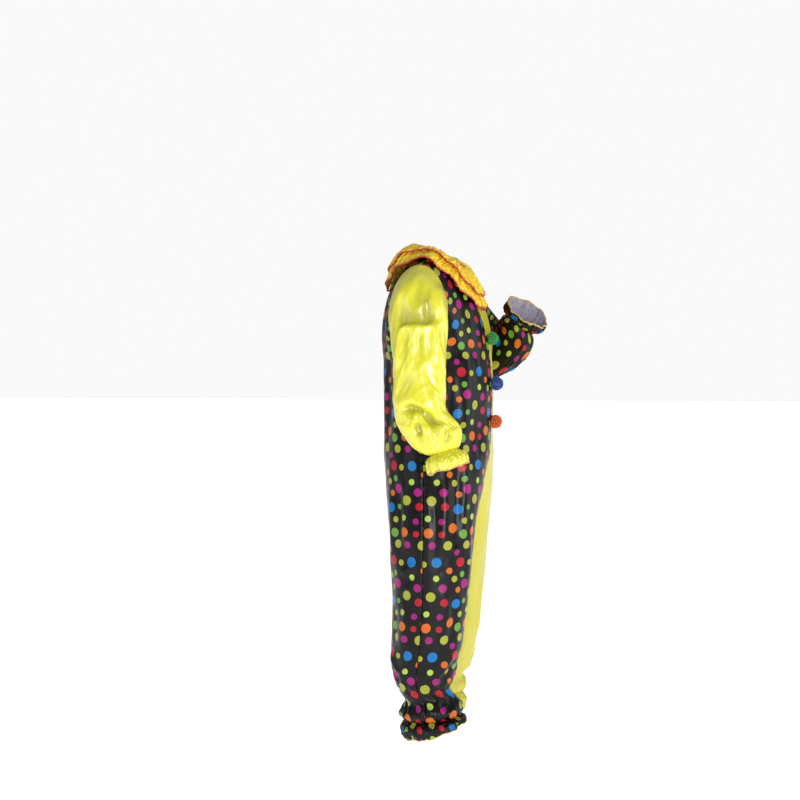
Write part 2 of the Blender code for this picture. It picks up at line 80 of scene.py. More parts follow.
# How many lines of points each cloth piece is worked out on, across or round, and along.
YOKE_LINES = 72
LEG_LINES = 236
PANEL_LINES = 66
SLEEVE_LINES = 118
SLEEVE_ROUND = 150
FRILL_ROUND = 300
FRILL_LINES = 26
COLLAR_ROUND = 760
COLLAR_LINES = 32
NECK_ROUND = 240
BAND_SIDES = 8

# The body's landmarks, as heights above the ground.
CROTCH = 0.720
ANKLE_PUFF_TOP = 0.330
ANKLE_GATHER_TOP = 0.200
ANKLE_ELASTIC = 0.130

# Where the dots' repeat starts on the panels: its height, and its offset across the right back.
GRAIN_HEIGHT = 0.789
BACK_GRAIN = 0.075

# Seams and elastics.
SEAM_GAP = 0.0003
SEAM_DIP = 0.0014
SEAM_HALF = 0.0045
PUCKER = 0.0007
PUCKER_PITCH = 0.021
PUCKER_REACH = 0.012
ELASTIC_DRAW = 0.0030
ELASTIC_REACH = 0.007

# Cloth relief: how much the creases of a table are raised and widened, and the small uneven waves
# over the whole cloth, each with its depth and the size of its waves.
Relief = namedtuple("Relief", "depth size")
PANEL_RELIEF = 1.4
PANEL_WAVES = Relief(0.0011, 0.070)
LEG_CRUMPLE = Relief(0.0010, 0.034)
ANKLE_CRUMPLE = Relief(0.0030, 0.040)
ANKLE_WAVES = Relief(0.0016, 0.030)
ANKLE_GATHERS = Relief(0.0022, 0.0145)
SLEEVE_RELIEF = 1.3
SLEEVE_SOFTNESS = 1.25
SLEEVE_WAVES = Relief(0.0011, 0.060)
FOREARM_CRUMPLE = Relief(0.0022, 0.052)
WRIST_GATHER_DEPTH = 0.0017
WRIST_GATHERS = 26
CAP_GATHER_DEPTH = 0.0009
CAP_GATHERS = 34
ARMHOLE_DIP = Relief(0.0012, 0.005)

# How deep a fold is at its darkest, and how much of its colour is left there, as painted shade
# down in a sleeve's folds. DOT_SHADE is how bright the dots are, as a share of their colours.
FOLD_HOLLOW = 0.0085
FOLD_SHADE = 0.62
DOT_SHADE = 0.80

# The length round a sleeve, a frill (times its elastic) and the collar in the cloth's own
# coordinates, which set how large its pattern and its threads look.
SLEEVE_FLAT = 0.52
FRILL_FULLNESS = 1.7
COLLAR_FLAT = 2.4

# Frills: their bulge, how far they tuck under the elastic, how uneven the hem is, and the sizes of
# the crushed ridges between the gathers.
FRILL_BULGE = 0.0030
FRILL_TUCK = 0.0018
HEM_UNEVEN = 0.0024
FRILL_CRUSH = 0.030
FRILL_CRINKLE = 0.016

# The collar: its slit at the back, how far one side leads, its pleats, the sway and flutter of its
# edge, the sizes of its crushed ridges, and how far out from the neck seam a tier starts.
COLLAR_SLIT = np.radians(0.6)
COLLAR_LEAD = 0.010
COLLAR_PLEATS = 34
COLLAR_DEPTH = 0.0034
COLLAR_SWAY = 0.006
COLLAR_SWAYS = 12
COLLAR_FLUTTER = 0.0008
COLLAR_CRUSH = 0.032
COLLAR_CRINKLE = 0.018
TIER_START = 0.04

# The folded bands on the edges. BAND_SET is how much of a band's width lies on the cloth side.
BAND_THICKNESS = 0.0032
BAND_SET = 0.35
NECK_BINDING_FOOT = 0.0008
NECK_BINDING_TOP = 0.0080

# A yarn of a pompom is a tube with this many sides, and a ring of points at each of these shares of
# its way out, with these thicknesses and a root depth as shares of the ball's radius.
YARN_SIDES = 3
YARN_WAYS = np.array([0.0, 0.35, 0.7, 1.0])
YARN_THICKNESS = np.array([0.030, 0.045, 0.050, 0.030])
YARN_ROOT = 0.45
YARN_CUT = 1.06
GOLDEN_ANGLE = np.pi * (3 - np.sqrt(5))

# How far each front swells over the chest, most where the raised left arm draws it out.
CHEST_SWELL = {RIGHT: 0.004, LEFT: 0.018}

# Centre-front and centre-back outline of the yoke, from the underarm up to the neck.
Profile = namedtuple("Profile", "height reach")
YOKE_PROFILE = {
    FRONT: [
        Profile(1.2000, 0.1655),
        Profile(1.2350, 0.1600),
        Profile(1.2700, 0.1510),
        Profile(1.3200, 0.1345),
        Profile(1.3900, 0.1090),
        Profile(1.4755, 0.0810),
    ],
    BACK: [
        Profile(1.2000, 0.1640),
        Profile(1.2900, 0.1635),
        Profile(1.3500, 0.1590),
        Profile(1.4000, 0.1470),
        Profile(1.4500, 0.1190),
        Profile(1.4950, 0.0780),
        Profile(1.5345, 0.0320),
    ],
}

# Body and leg sections from underarm to ankle elastic. side is the outermost reach, front and back
# are the reach of each half, and centre is the middle of that half's oval: 0 where the trunk is one
# oval, and the middle of the leg lower down. tilt lifts the front of a section and drops its back.
# The left foot is set further back than the right one, so each leg has its own lower rows.
Section = namedtuple("Section", "height side front back centre tilt")
TRUNK = [
    Section(1.200, 0.198, 0.1655, 0.164, 0.0000, 0.000),
    Section(1.100, 0.202, 0.1710, 0.164, 0.0000, 0.000),
    Section(0.960, 0.209, 0.1675, 0.162, 0.0000, 0.000),
    Section(0.903, 0.214, 0.1660, 0.157, 0.0320, 0.000),
    Section(0.855, 0.219, 0.1600, 0.148, 0.0580, 0.000),
    Section(0.810, 0.223, 0.1550, 0.140, 0.0800, 0.000),
    Section(0.770, 0.227, 0.1495, 0.132, 0.0975, 0.000),
    Section(0.740, 0.231, 0.1450, 0.126, 0.1105, 0.000),
    Section(0.720, 0.233, 0.1420, 0.123, 0.1165, 0.000),
    Section(0.680, 0.236, 0.1380, 0.118, 0.1230, 0.000),
    Section(0.594, 0.235, 0.1300, 0.114, 0.1260, 0.000),
    Section(0.488, 0.230, 0.1200, 0.107, 0.1270, 0.000),
    Section(0.404, 0.227, 0.1090, 0.110, 0.1270, 0.000),
]
LOWER_LEG = {
    RIGHT: [
        Section(0.3300, 0.224, 0.099, 0.112, 0.1270, 0.000),
        Section(0.2770, 0.217, 0.081, 0.110, 0.1270, 0.000),
        Section(0.2380, 0.207, 0.069, 0.102, 0.1270, 0.000),
        Section(0.2080, 0.198, 0.062, 0.085, 0.1270, 0.003),
        Section(0.1845, 0.196, 0.081, 0.068, 0.1270, 0.006),
        Section(0.1607, 0.209, 0.101, 0.081, 0.1270, 0.008),
        Section(0.1430, 0.209, 0.100, 0.083, 0.1270, 0.008),
        Section(0.1300, 0.199, 0.093, 0.071, 0.1270, 0.008),
    ],
    LEFT: [
        Section(0.3300, 0.224, 0.101, 0.113, 0.1270, 0.000),
        Section(0.2770, 0.218, 0.092, 0.113, 0.1270, 0.000),
        Section(0.2380, 0.209, 0.084, 0.111, 0.1270, 0.000),
        Section(0.2080, 0.199, 0.070, 0.105, 0.1270, 0.000),
        Section(0.1880, 0.197, 0.052, 0.104, 0.1270, 0.000),
        Section(0.1680, 0.208, 0.060, 0.122, 0.1270, 0.000),
        Section(0.1450, 0.208, 0.059, 0.122, 0.1270, 0.000),
        Section(0.1300, 0.199, 0.045, 0.110, 0.1270, 0.000),
    ],
}
BODY = {side: TRUNK + LOWER_LEG[side] for side in (RIGHT, LEFT)}

# A tube's sections: outer and inner are its reach across, front and back its reach along, each from
# its own origin. rise lifts its outer side above its middle, and tilt lifts its front.
Ring = namedtuple("Ring", "height outer inner front back rise tilt")
ANKLE_FRILL = {
    RIGHT: [
        Ring(0.1300, 0.199, 0.055, 0.093, -0.071, 0.0, 0.008),
        Ring(0.1120, 0.212, 0.044, 0.109, -0.079, 0.0, 0.018),
        Ring(0.0890, 0.207, 0.047, 0.114, -0.067, 0.0, 0.029),
    ],
    LEFT: [
        Ring(0.1300, 0.199, 0.055, 0.045, -0.110, 0.0, 0.000),
        Ring(0.1100, 0.211, 0.045, 0.058, -0.123, 0.0, 0.000),
        Ring(0.0740, 0.208, 0.047, 0.056, -0.121, 0.0, 0.002),
    ],
}
RIGHT_SLEEVE = [
    Ring(1.295, 0.272, 0.209, 0.085, -0.090, 0.112, 0.000),
    Ring(1.225, 0.302, 0.209, 0.081, -0.077, 0.080, 0.000),
    Ring(1.150, 0.314, 0.210, 0.082, -0.068, 0.040, 0.000),
    Ring(1.085, 0.318, 0.212, 0.084, -0.067, 0.012, 0.000),
    Ring(1.030, 0.318, 0.213, 0.081, -0.063, 0.000, 0.006),
    Ring(0.978, 0.316, 0.216, 0.128, -0.034, 0.000, 0.013),
    Ring(0.944, 0.310, 0.219, 0.127, 0.002, 0.000, 0.014),
    Ring(0.925, 0.300, 0.224, 0.121, 0.038, 0.000, 0.011),
]
RIGHT_CUFF = [
    RIGHT_SLEEVE[-1],
    Ring(0.907, 0.312, 0.214, 0.141, 0.031, 0.000, 0.013),
    Ring(0.878, 0.313, 0.212, 0.149, 0.037, 0.000, 0.018),
]
LEFT_SLEEVE = [
    Ring(1.3000, 0.082, 0.019, 0.095, -0.085, 0.110, 0.045),
    Ring(1.2650, 0.112, 0.020, 0.110, -0.085, 0.070, 0.080),
    Ring(1.2350, 0.122, 0.020, 0.126, -0.060, 0.035, 0.098),
    Ring(1.2220, 0.124, 0.020, 0.135, 0.000, 0.012, 0.105),
    Ring(1.2220, 0.122, 0.018, 0.141, 0.070, 0.000, 0.104),
    Ring(1.2330, 0.114, 0.010, 0.147, 0.140, 0.000, 0.093),
    Ring(1.2475, 0.102, -0.002, 0.154, 0.200, 0.000, 0.080),
    Ring(1.2670, 0.086, -0.018, 0.165, 0.249, 0.000, 0.064),
    Ring(1.2910, 0.066, -0.034, 0.179, 0.276, 0.000, 0.047),
    Ring(1.3085, 0.045, -0.040, 0.195, 0.280, 0.000, 0.0315),
]
LEFT_CUFF = [
    LEFT_SLEEVE[-1],
    Ring(1.3210, 0.064, -0.060, 0.193, 0.306, 0.000, 0.0420),
    Ring(1.3470, 0.090, -0.070, 0.206, 0.324, 0.020, 0.0480),
]

# A limb's own origin and heading: how far out its middle plane is, and how far it turns inwards.
Limb = namedtuple("Limb", "side out turn")
RIGHT_ARM = Limb(RIGHT, 0.0, 0.0)
LEFT_ARM = Limb(LEFT, 0.190, np.radians(13.0))
RIGHT_LEG = Limb(RIGHT, 0.0, 0.0)
LEFT_LEG = Limb(LEFT, 0.0, 0.0)

# The collar's edge, from the centre front (turn 0) round either side to the centre back. crown is
# how far the full collar swells above the straight line from the neck seam to this edge, and share
# is how much of its width the upper tier covers.
Edge = namedtuple("Edge", "turn out ahead height crown share")
COLLAR_EDGE = [
    Edge(0, 0.000, 0.1430, 1.343, 0.005, 0.74),
    Edge(20, 0.062, 0.1350, 1.355, 0.006, 0.73),
    Edge(40, 0.117, 0.1090, 1.388, 0.008, 0.70),
    Edge(55, 0.151, 0.0760, 1.428, 0.010, 0.66),
    Edge(72, 0.177, 0.0430, 1.465, 0.011, 0.63),
    Edge(90, 0.187, 0.0020, 1.482, 0.013, 0.63),
    Edge(115, 0.172, -0.0620, 1.465, 0.024, 0.68),
    Edge(135, 0.140, -0.1010, 1.445, 0.032, 0.74),
    Edge(155, 0.085, -0.1350, 1.419, 0.036, 0.78),
    Edge(180, 0.000, -0.1550, 1.402, 0.036, 0.79),
]

# A collar tier's lift over the shoulders, at the neck seam and out on its skirt.
Tier = namedtuple("Tier", "seam_lift skirt_lift")
LOWER_TIER = Tier(0.0025, 0.0050)
UPPER_TIER = Tier(0.0050, 0.0140)

# foot is how far ahead the ball is cut flat, clear of the cloth that it is sewn to.
Pompom = namedtuple("Pompom", "name height ahead radius foot")
POMPOMS = [
    Pompom("pompom_green", 1.2560, 0.1700, 0.0195, 0.1605),
    Pompom("pompom_blue", 1.1185, 0.1835, 0.0210, 0.1720),
    Pompom("pompom_orange", 1.0020, 0.1800, 0.0210, 0.1700),
]

# A crease: a ridge (rise above 0) or a trough (below 0) along a smooth line through its points.
# left and right are how wide it is on either hand, going from its first point to its last.
Crease = namedtuple("Crease", "rise left right points")

# Right sleeve, on its outer side. Points are (ahead, height).
RIGHT_SLEEVE_CREASES = [
    # the ledge where the cap tucks in above the fuller upper arm
    Crease(-0.0085, 0.042, 0.005, [(-0.058, 1.277), (-0.03, 1.288), (0.004, 1.291), (0.04, 1.29),
                                  (0.084, 1.297)]),
    Crease(0.0042, 0.005, 0.02, [(-0.056, 1.267), (-0.028, 1.279), (0.004, 1.282), (0.034, 1.278),
                                  (0.056, 1.286), (0.082, 1.286)]),
    # folds down the cap
    Crease(-0.006, 0.007, 0.012, [(0.036, 1.4), (0.037, 1.345), (0.046, 1.312), (0.058, 1.294)]),
    Crease(0.004, 0.012, 0.008, [(0.052, 1.405), (0.064, 1.35), (0.074, 1.305)]),
    Crease(0.0025, 0.014, 0.01, [(-0.006, 1.425), (-0.018, 1.37), (-0.014, 1.31)]),
    Crease(-0.0022, 0.01, 0.012, [(0.012, 1.43), (0.008, 1.38), (0.016, 1.32)]),
    Crease(0.0022, 0.01, 0.012, [(-0.044, 1.4), (-0.052, 1.35), (-0.048, 1.3)]),
    # short pleats that start at the ledge
    Crease(0.0036, 0.008, 0.01, [(-0.04, 1.284), (-0.044, 1.22), (-0.042, 1.15)]),
    Crease(-0.003, 0.007, 0.012, [(-0.028, 1.286), (-0.024, 1.24), (-0.03, 1.18)]),
    Crease(0.0034, 0.007, 0.014, [(0.008, 1.29), (0.0, 1.24), (-0.008, 1.18), (-0.014, 1.11)]),
    Crease(-0.0028, 0.009, 0.007, [(0.022, 1.29), (0.018, 1.235), (0.026, 1.17)]),
    Crease(0.0045, 0.007, 0.012, [(0.057, 1.294), (0.06, 1.255), (0.071, 1.2), (0.08, 1.15)]),
    Crease(-0.003, 0.008, 0.01, [(0.046, 1.288), (0.046, 1.24), (0.052, 1.19)]),
    # long soft folds down the upper arm
    Crease(-0.0036, 0.01, 0.016, [(0.0, 1.16), (-0.02, 1.1), (-0.036, 1.05)]),
    Crease(0.0042, 0.02, 0.014, [(0.02, 1.2), (0.028, 1.13), (0.05, 1.08), (0.08, 1.05)]),
    Crease(-0.004, 0.014, 0.01, [(0.034, 1.19), (0.046, 1.13), (0.07, 1.085), (0.092, 1.06)]),
    Crease(0.003, 0.012, 0.012, [(-0.053, 1.24), (-0.056, 1.15), (-0.048, 1.06)]),
    Crease(0.0036, 0.012, 0.009, [(0.082, 1.18), (0.09, 1.12), (0.094, 1.07)]),
    # the upper arm's cloth hanging over the elbow, and the hollow under it
    Crease(0.009, 0.026, 0.005, [(-0.04, 1.04), (-0.03, 1.06), (-0.01, 1.07), (0.028, 1.058),
                                  (0.07, 1.032), (0.11, 1.008), (0.14, 0.994)]),
    Crease(-0.011, 0.006, 0.02, [(-0.028, 1.03), (-0.012, 1.052), (0.02, 1.045),
                                   (0.06, 1.018), (0.105, 0.99)]),
    # folds below the elbow
    Crease(0.0095, 0.006, 0.006, [(0.008, 1.048), (0.005, 1.015), (-0.008, 0.985)]),
    Crease(0.009, 0.012, 0.005, [(0.012, 1.046), (0.026, 1.01), (0.036, 0.972)]),
    Crease(-0.0075, 0.012, 0.009, [(0.012, 1.015), (0.014, 0.99), (0.02, 0.968)]),
    Crease(0.005, 0.009, 0.009, [(0.07, 1.012), (0.08, 0.985), (0.08, 0.955)]),
    Crease(-0.0045, 0.007, 0.01, [(0.09, 1.0), (0.098, 0.975), (0.096, 0.95)]),
    Crease(0.0048, 0.009, 0.007, [(0.112, 0.998), (0.116, 0.975), (0.108, 0.948)]),
    Crease(0.004, 0.01, 0.01, [(-0.028, 1.015), (-0.01, 0.985), (0.014, 0.958)]),
    Crease(-0.004, 0.008, 0.01, [(-0.008, 1.02), (0.004, 0.99), (0.026, 0.955)]),
]
# Right sleeve, on the side against the body: similar folds, where they don't show.
RIGHT_SLEEVE_INNER_CREASES = [
    Crease(0.004, 0.014, 0.012, [(-0.03, 1.24), (-0.034, 1.17), (-0.028, 1.1)]),
    Crease(-0.0035, 0.012, 0.014, [(0.01, 1.25), (0.002, 1.18), (0.01, 1.11)]),
    Crease(0.004, 0.012, 0.016, [(0.05, 1.23), (0.046, 1.15), (0.06, 1.08)]),
    Crease(0.006, 0.012, 0.012, [(-0.03, 1.05), (0.01, 1.066), (0.06, 1.04), (0.11, 1.0)]),
    Crease(-0.005, 0.01, 0.012, [(-0.01, 1.035), (0.03, 1.04), (0.08, 1.01)]),
    Crease(0.0045, 0.009, 0.009, [(0.04, 1.015), (0.052, 0.985), (0.06, 0.955)]),
    Crease(0.0045, 0.009, 0.009, [(0.09, 1.0), (0.094, 0.975), (0.096, 0.95)]),
]
# The panels and their legs. Points are (across from the side seam, height).
RIGHT_FRONT_CREASES = [
    Crease(0.004, 0.022, 0.03, [(0.06, 1.18), (0.052, 1.05), (0.058, 0.92)]),
    Crease(-0.0035, 0.02, 0.018, [(0.096, 1.22), (0.092, 1.08), (0.1, 0.96)]),
    Crease(0.0035, 0.02, 0.024, [(0.136, 1.24), (0.14, 1.1), (0.134, 0.93)]),
    Crease(-0.003, 0.018, 0.02, [(0.176, 1.12), (0.178, 0.98), (0.17, 0.84)]),
    Crease(0.0045, 0.016, 0.014, [(0.128, 0.95), (0.13, 0.83), (0.122, 0.7), (0.126, 0.6)]),
    Crease(-0.004, 0.014, 0.018, [(0.104, 0.9), (0.1, 0.78), (0.096, 0.66)]),
    Crease(0.004, 0.018, 0.016, [(0.06, 0.86), (0.064, 0.74), (0.056, 0.62)]),
    Crease(-0.0036, 0.016, 0.014, [(0.034, 0.8), (0.036, 0.7), (0.03, 0.56)]),
    Crease(0.0034, 0.012, 0.016, [(0.16, 0.74), (0.15, 0.64), (0.156, 0.5)]),
    Crease(0.0032, 0.01, 0.008, [(0.11, 0.655), (0.08, 0.615), (0.052, 0.57)]),
    Crease(-0.003, 0.008, 0.01, [(0.098, 0.64), (0.07, 0.6), (0.044, 0.56)]),
    Crease(0.0036, 0.014, 0.012, [(0.05, 0.54), (0.07, 0.45), (0.06, 0.35)]),
    Crease(-0.0034, 0.014, 0.014, [(0.09, 0.52), (0.1, 0.43), (0.094, 0.34)]),
    Crease(0.0044, 0.01, 0.012, [(0.11, 0.34), (0.08, 0.29), (0.04, 0.24)]),
    Crease(-0.004, 0.01, 0.01, [(0.12, 0.31), (0.094, 0.262), (0.06, 0.226)]),
    Crease(0.0036, 0.009, 0.012, [(0.15, 0.3), (0.136, 0.262), (0.11, 0.228)]),
]
RIGHT_BACK_CREASES = [
    Crease(0.004, 0.018, 0.02, [(0.04, 1.33), (0.036, 1.22), (0.042, 1.08), (0.036, 0.94)]),
    Crease(-0.004, 0.014, 0.018, [(0.066, 1.28), (0.07, 1.15), (0.064, 1.0)]),
    Crease(0.0045, 0.02, 0.016, [(0.1, 1.34), (0.104, 1.18), (0.096, 1.02), (0.1, 0.88)]),
    Crease(-0.0035, 0.018, 0.022, [(0.14, 1.3), (0.144, 1.14), (0.138, 0.96)]),
    Crease(0.0035, 0.02, 0.02, [(0.178, 1.2), (0.176, 1.04), (0.18, 0.88)]),
    Crease(0.004, 0.014, 0.018, [(0.05, 0.86), (0.056, 0.74), (0.048, 0.62)]),
    Crease(-0.0038, 0.016, 0.014, [(0.086, 0.84), (0.08, 0.72), (0.088, 0.58)]),
    Crease(0.0042, 0.016, 0.02, [(0.128, 0.8), (0.12, 0.68), (0.13, 0.54)]),
    Crease(0.0036, 0.01, 0.01, [(0.016, 0.61), (0.046, 0.58), (0.076, 0.56)]),
    Crease(-0.0034, 0.01, 0.012, [(0.014, 0.58), (0.04, 0.556), (0.07, 0.53)]),
    Crease(0.0036, 0.014, 0.012, [(0.06, 0.5), (0.05, 0.42), (0.064, 0.33)]),
    Crease(-0.0034, 0.012, 0.014, [(0.1, 0.48), (0.094, 0.4), (0.104, 0.32)]),
    Crease(0.0046, 0.012, 0.01, [(0.12, 0.34), (0.086, 0.29), (0.05, 0.262)]),
    Crease(-0.004, 0.01, 0.012, [(0.11, 0.3), (0.08, 0.262), (0.044, 0.24)]),
    Crease(0.0036, 0.01, 0.012, [(0.03, 0.3), (0.05, 0.262), (0.04, 0.226)]),
]
LEFT_FRONT_CREASES = [
    Crease(0.004, 0.022, 0.03, [(0.05, 1.19), (0.058, 1.06), (0.05, 0.93)]),
    Crease(-0.0035, 0.018, 0.02, [(0.09, 1.24), (0.098, 1.1), (0.092, 0.97)]),
    Crease(0.005, 0.016, 0.02, [(0.12, 1.29), (0.15, 1.22), (0.186, 1.16)]),
    Crease(-0.004, 0.014, 0.016, [(0.13, 1.26), (0.16, 1.19), (0.192, 1.12)]),
    Crease(0.0035, 0.018, 0.022, [(0.144, 1.11), (0.138, 0.99), (0.146, 0.86)]),
    Crease(0.0045, 0.014, 0.016, [(0.122, 0.9), (0.128, 0.78), (0.12, 0.64)]),
    Crease(-0.004, 0.016, 0.014, [(0.16, 0.88), (0.156, 0.76), (0.162, 0.6)]),
    Crease(0.0038, 0.016, 0.018, [(0.062, 0.83), (0.058, 0.7), (0.066, 0.56)]),
    Crease(-0.0036, 0.014, 0.016, [(0.094, 0.7), (0.09, 0.56), (0.098, 0.44)]),
    Crease(0.0044, 0.012, 0.01, [(0.19, 0.52), (0.18, 0.4), (0.17, 0.3)]),
    Crease(0.004, 0.01, 0.012, [(0.12, 0.35), (0.09, 0.3), (0.05, 0.25)]),
    Crease(-0.0036, 0.01, 0.01, [(0.13, 0.31), (0.11, 0.262), (0.07, 0.226)]),
]
LEFT_BACK_CREASES = [
    Crease(0.0042, 0.02, 0.018, [(0.044, 1.3), (0.05, 1.16), (0.042, 1.01)]),
    Crease(-0.0036, 0.016, 0.018, [(0.08, 1.26), (0.086, 1.12), (0.08, 0.98)]),
    Crease(0.0044, 0.016, 0.02, [(0.118, 1.34), (0.112, 1.2), (0.12, 1.04), (0.112, 0.9)]),
    Crease(-0.0034, 0.018, 0.02, [(0.156, 1.26), (0.15, 1.1), (0.158, 0.94)]),
    Crease(0.004, 0.016, 0.016, [(0.07, 0.86), (0.064, 0.72), (0.072, 0.59)]),
    Crease(-0.0038, 0.014, 0.016, [(0.106, 0.82), (0.112, 0.68), (0.104, 0.54)]),
    Crease(0.004, 0.016, 0.016, [(0.15, 0.78), (0.142, 0.64), (0.152, 0.5)]),
    Crease(0.0036, 0.01, 0.01, [(0.02, 0.6), (0.05, 0.566), (0.084, 0.55)]),
    Crease(0.0038, 0.012, 0.014, [(0.07, 0.48), (0.08, 0.4), (0.068, 0.31)]),
    Crease(0.0044, 0.012, 0.01, [(0.13, 0.35), (0.094, 0.296), (0.056, 0.262)]),
    Crease(-0.004, 0.01, 0.012, [(0.112, 0.306), (0.08, 0.264), (0.046, 0.236)]),
]


def place(side, points):
    """(out, ahead, height) to the frame."""
    out, ahead, height = points[..., 0], points[..., 1], points[..., 2]
    return np.stack([side * out, -ahead, height - ORIGIN_HEIGHT], axis=-1)


def place_limb(limb, points):
    """(out, ahead, height) in a limb's own frame to the frame: turned about the upright line
    through the limb's origin, then moved out to it."""
    out, ahead, height = points[..., 0], points[..., 1], points[..., 2]
    across = limb.out + out * np.cos(limb.turn) - ahead * np.sin(limb.turn)
    along_limb = ahead * np.cos(limb.turn) + out * np.sin(limb.turn)
    return place(limb.side, np.stack([across, along_limb, height], axis=-1))


def unit(vectors):
    """Each vector at length 1."""
    return vectors / np.maximum(np.linalg.norm(vectors, axis=-1, keepdims=True), 1e-12)


def smooth_step(values):
    """0 below 0, 1 above 1, and 3t^2 - 2t^3 between."""
    t = np.clip(values, 0, 1)
    return t * t * (3 - 2 * t)


def along(rows, column, places):
    """A column of a table as a cubic through its rows, at places along its first column."""
    knots = np.array([row[0] for row in rows], float)
    values = np.array([getattr(row, column) for row in rows])
    return through(knots, values, places)


def through(knots, values, places):
    """Cubic Hermite curve through values at rising knots, at the given places. Its slope at each
    knot is the slope of its neighbours."""
    slopes = np.gradient(values, knots, axis=0)
    index = np.clip(np.searchsorted(knots, places) - 1, 0, len(knots) - 2)
    width = knots[index + 1] - knots[index]
    t = (places - knots[index]) / width
    column = (-1,) + (1,) * (values.ndim - 1)
    t, width = t.reshape(column), width.reshape(column)
    return (
        values[index] * (1 + 2 * t) * (1 - t) ** 2
        + values[index + 1] * (3 - 2 * t) * t * t
        + slopes[index] * width * t * (1 - t) ** 2
        + slopes[index + 1] * width * t * t * (t - 1)
    )


def normals_of(grid, loop):
    """Unit normals of a grid of points: the cross product of its row and column directions."""
    down = np.gradient(grid, axis=0)
    if loop:
        across = np.roll(grid, -1, axis=1) - np.roll(grid, 1, axis=1)
    else:
        across = np.gradient(grid, axis=1)
    return unit(np.cross(down, across))


def facing(normals, outward):
    """The normals, turned to agree with outward, a direction or an array of them."""
    return normals * np.where(np.sum(normals * outward) < 0, -1.0, 1.0)


def away_from_middle(grid):
    """For a tube: the direction from each row's middle to each of its points."""
    return grid - grid.mean(axis=1, keepdims=True)


def draw_in(grid, outward, distance):
    """Draws a sheet in, level, where it is near an elastic: by a bell curve of its distance."""
    level = unit(outward * [1, 1, 0])
    return grid - level * (ELASTIC_DRAW * np.exp(-((distance / ELASTIC_REACH) ** 2)))[..., None]


def arc_lengths(points, axis):
    """Distance along a grid's lines in that direction, from 0 at its first row or column."""
    steps = np.linalg.norm(np.diff(points, axis=axis), axis=-1)
    start = np.zeros_like(np.take(steps, [0], axis=axis))
    return np.concatenate([start, np.cumsum(steps, axis=axis)], axis=axis)


def loft(rings, count):
    """Rings of points as a smooth surface of count rows: a cubic through each ring's matching
    points, the rows evenly spaced by the mean distance between rings."""
    steps = np.linalg.norm(np.diff(rings, axis=0), axis=-1).mean(axis=1)
    knots = np.concatenate([[0], np.cumsum(steps)])
    return through(knots, rings, np.linspace(0, knots[-1], count))


def crease_field(flat, table, softness=1.0):
    """How far each point of a sheet is lifted by a table of creases, given its flat (x, y). Each
    crease is a bell curve of the distance to its line, with its own width on either hand, and
    fades in and out along the line."""
    lift = np.zeros(flat.shape[:-1])
    for crease in table:
        points = np.array(crease.points)
        line = through(np.arange(len(points), dtype=float), points,
                       np.linspace(0, len(points) - 1, 6 * len(points)))
        start, step = line[:-1], np.diff(line, axis=0)
        reach = 3 * softness * max(crease.left, crease.right)
        near = np.all((flat > line.min(axis=0) - reach) & (flat < line.max(axis=0) + reach), axis=-1)
        offset = flat[near][:, None] - start
        share = np.clip(np.sum(offset * step, axis=-1) / np.sum(step * step, axis=-1), 0, 1)
        miss = offset - share[..., None] * step
        distance = np.linalg.norm(miss, axis=-1)
        best = np.argmin(distance, axis=1)
        pick = np.arange(len(best))
        hand = step[best, 0] * miss[pick, best, 1] - step[best, 1] * miss[pick, best, 0]
        width = softness * np.where(hand > 0, crease.left, crease.right)
        way = (best + share[pick, best]) / len(step)
        fade = smooth_step(way / 0.25) * smooth_step((1 - way) / 0.3)
        lift[near] += crease.rise * fade * np.exp(-((distance[pick, best] / width) ** 2))
    return lift


def rumple(flat, size, seed, count=7):
    """Uneven soft waves between about -1 and 1 of roughly the given size: a sum of sine waves in
    directions spread by nearly the golden angle, each bent by the one before it."""
    total = np.zeros(flat.shape[:-1])
    bend = 0.0
    for k in range(count):
        turn = seed + k * 2.39996
        pitch = 2 * np.pi / (size * (0.7 + 0.16 * k))
        across = flat[..., 0] * np.cos(turn) + flat[..., 1] * np.sin(turn)
        sweep = np.sin(across * pitch + 1.7 * k * k + seed + 0.9 * bend)
        total += sweep
        bend = sweep
    return total / np.sqrt(count)


def crumple(flat, size, seed):
    """Sharp little ridges between 0 and 1, as in crushed satin: one less the size of the waves."""
    return (1 - np.abs(rumple(flat, size, seed, 4))) ** 2 * 0.5


def neck_ring(turn):
    """The neck seam at a turn round the neck from the centre front."""
    return np.stack([
        NECK_OUT * np.sin(turn),
        NECK_AHEAD + NECK_REACH * np.cos(turn),
        NECK_HEIGHT - NECK_DROP * np.cos(turn),
    ], axis=-1)


def armhole(face, share):
    """The armhole seam on the front or back panel, share 0 at the shoulder to 1 at the underarm."""
    turn = np.pi * share
    return np.stack([
        ARMHOLE_OUT - ARMHOLE_DISH * np.sin(turn),
        ARMHOLE_AHEAD + face * ARMHOLE_REACH[face] * np.sin(turn),
        ARMHOLE_MIDDLE + ARMHOLE_HALF * np.cos(turn),
    ], axis=-1)


def section_arcs(side, face, heights, shares):
    """The body's section arcs at these heights, from the centre plane or the inseam (share 0) to
    the side seam (share 1): the part of each half's oval beyond the centre plane."""
    rows = BODY[side][::-1]
    at = {name: along(rows, name, heights)[:, None] for name in Section._fields[1:]}
    width = at["side"] - at["centre"]
    reach = (at["front"] + at["back"]) / 2
    middle = (at["front"] - at["back"]) / 2
    start = np.arccos(-np.clip(at["centre"] / width, 0, 1))
    turn = start * (1 - shares)
    return np.stack([
        at["centre"] + width * np.cos(turn),
        middle + face * reach * np.sin(turn),
        heights[:, None] + face * at["tilt"] * np.sin(turn),
    ], axis=-1)


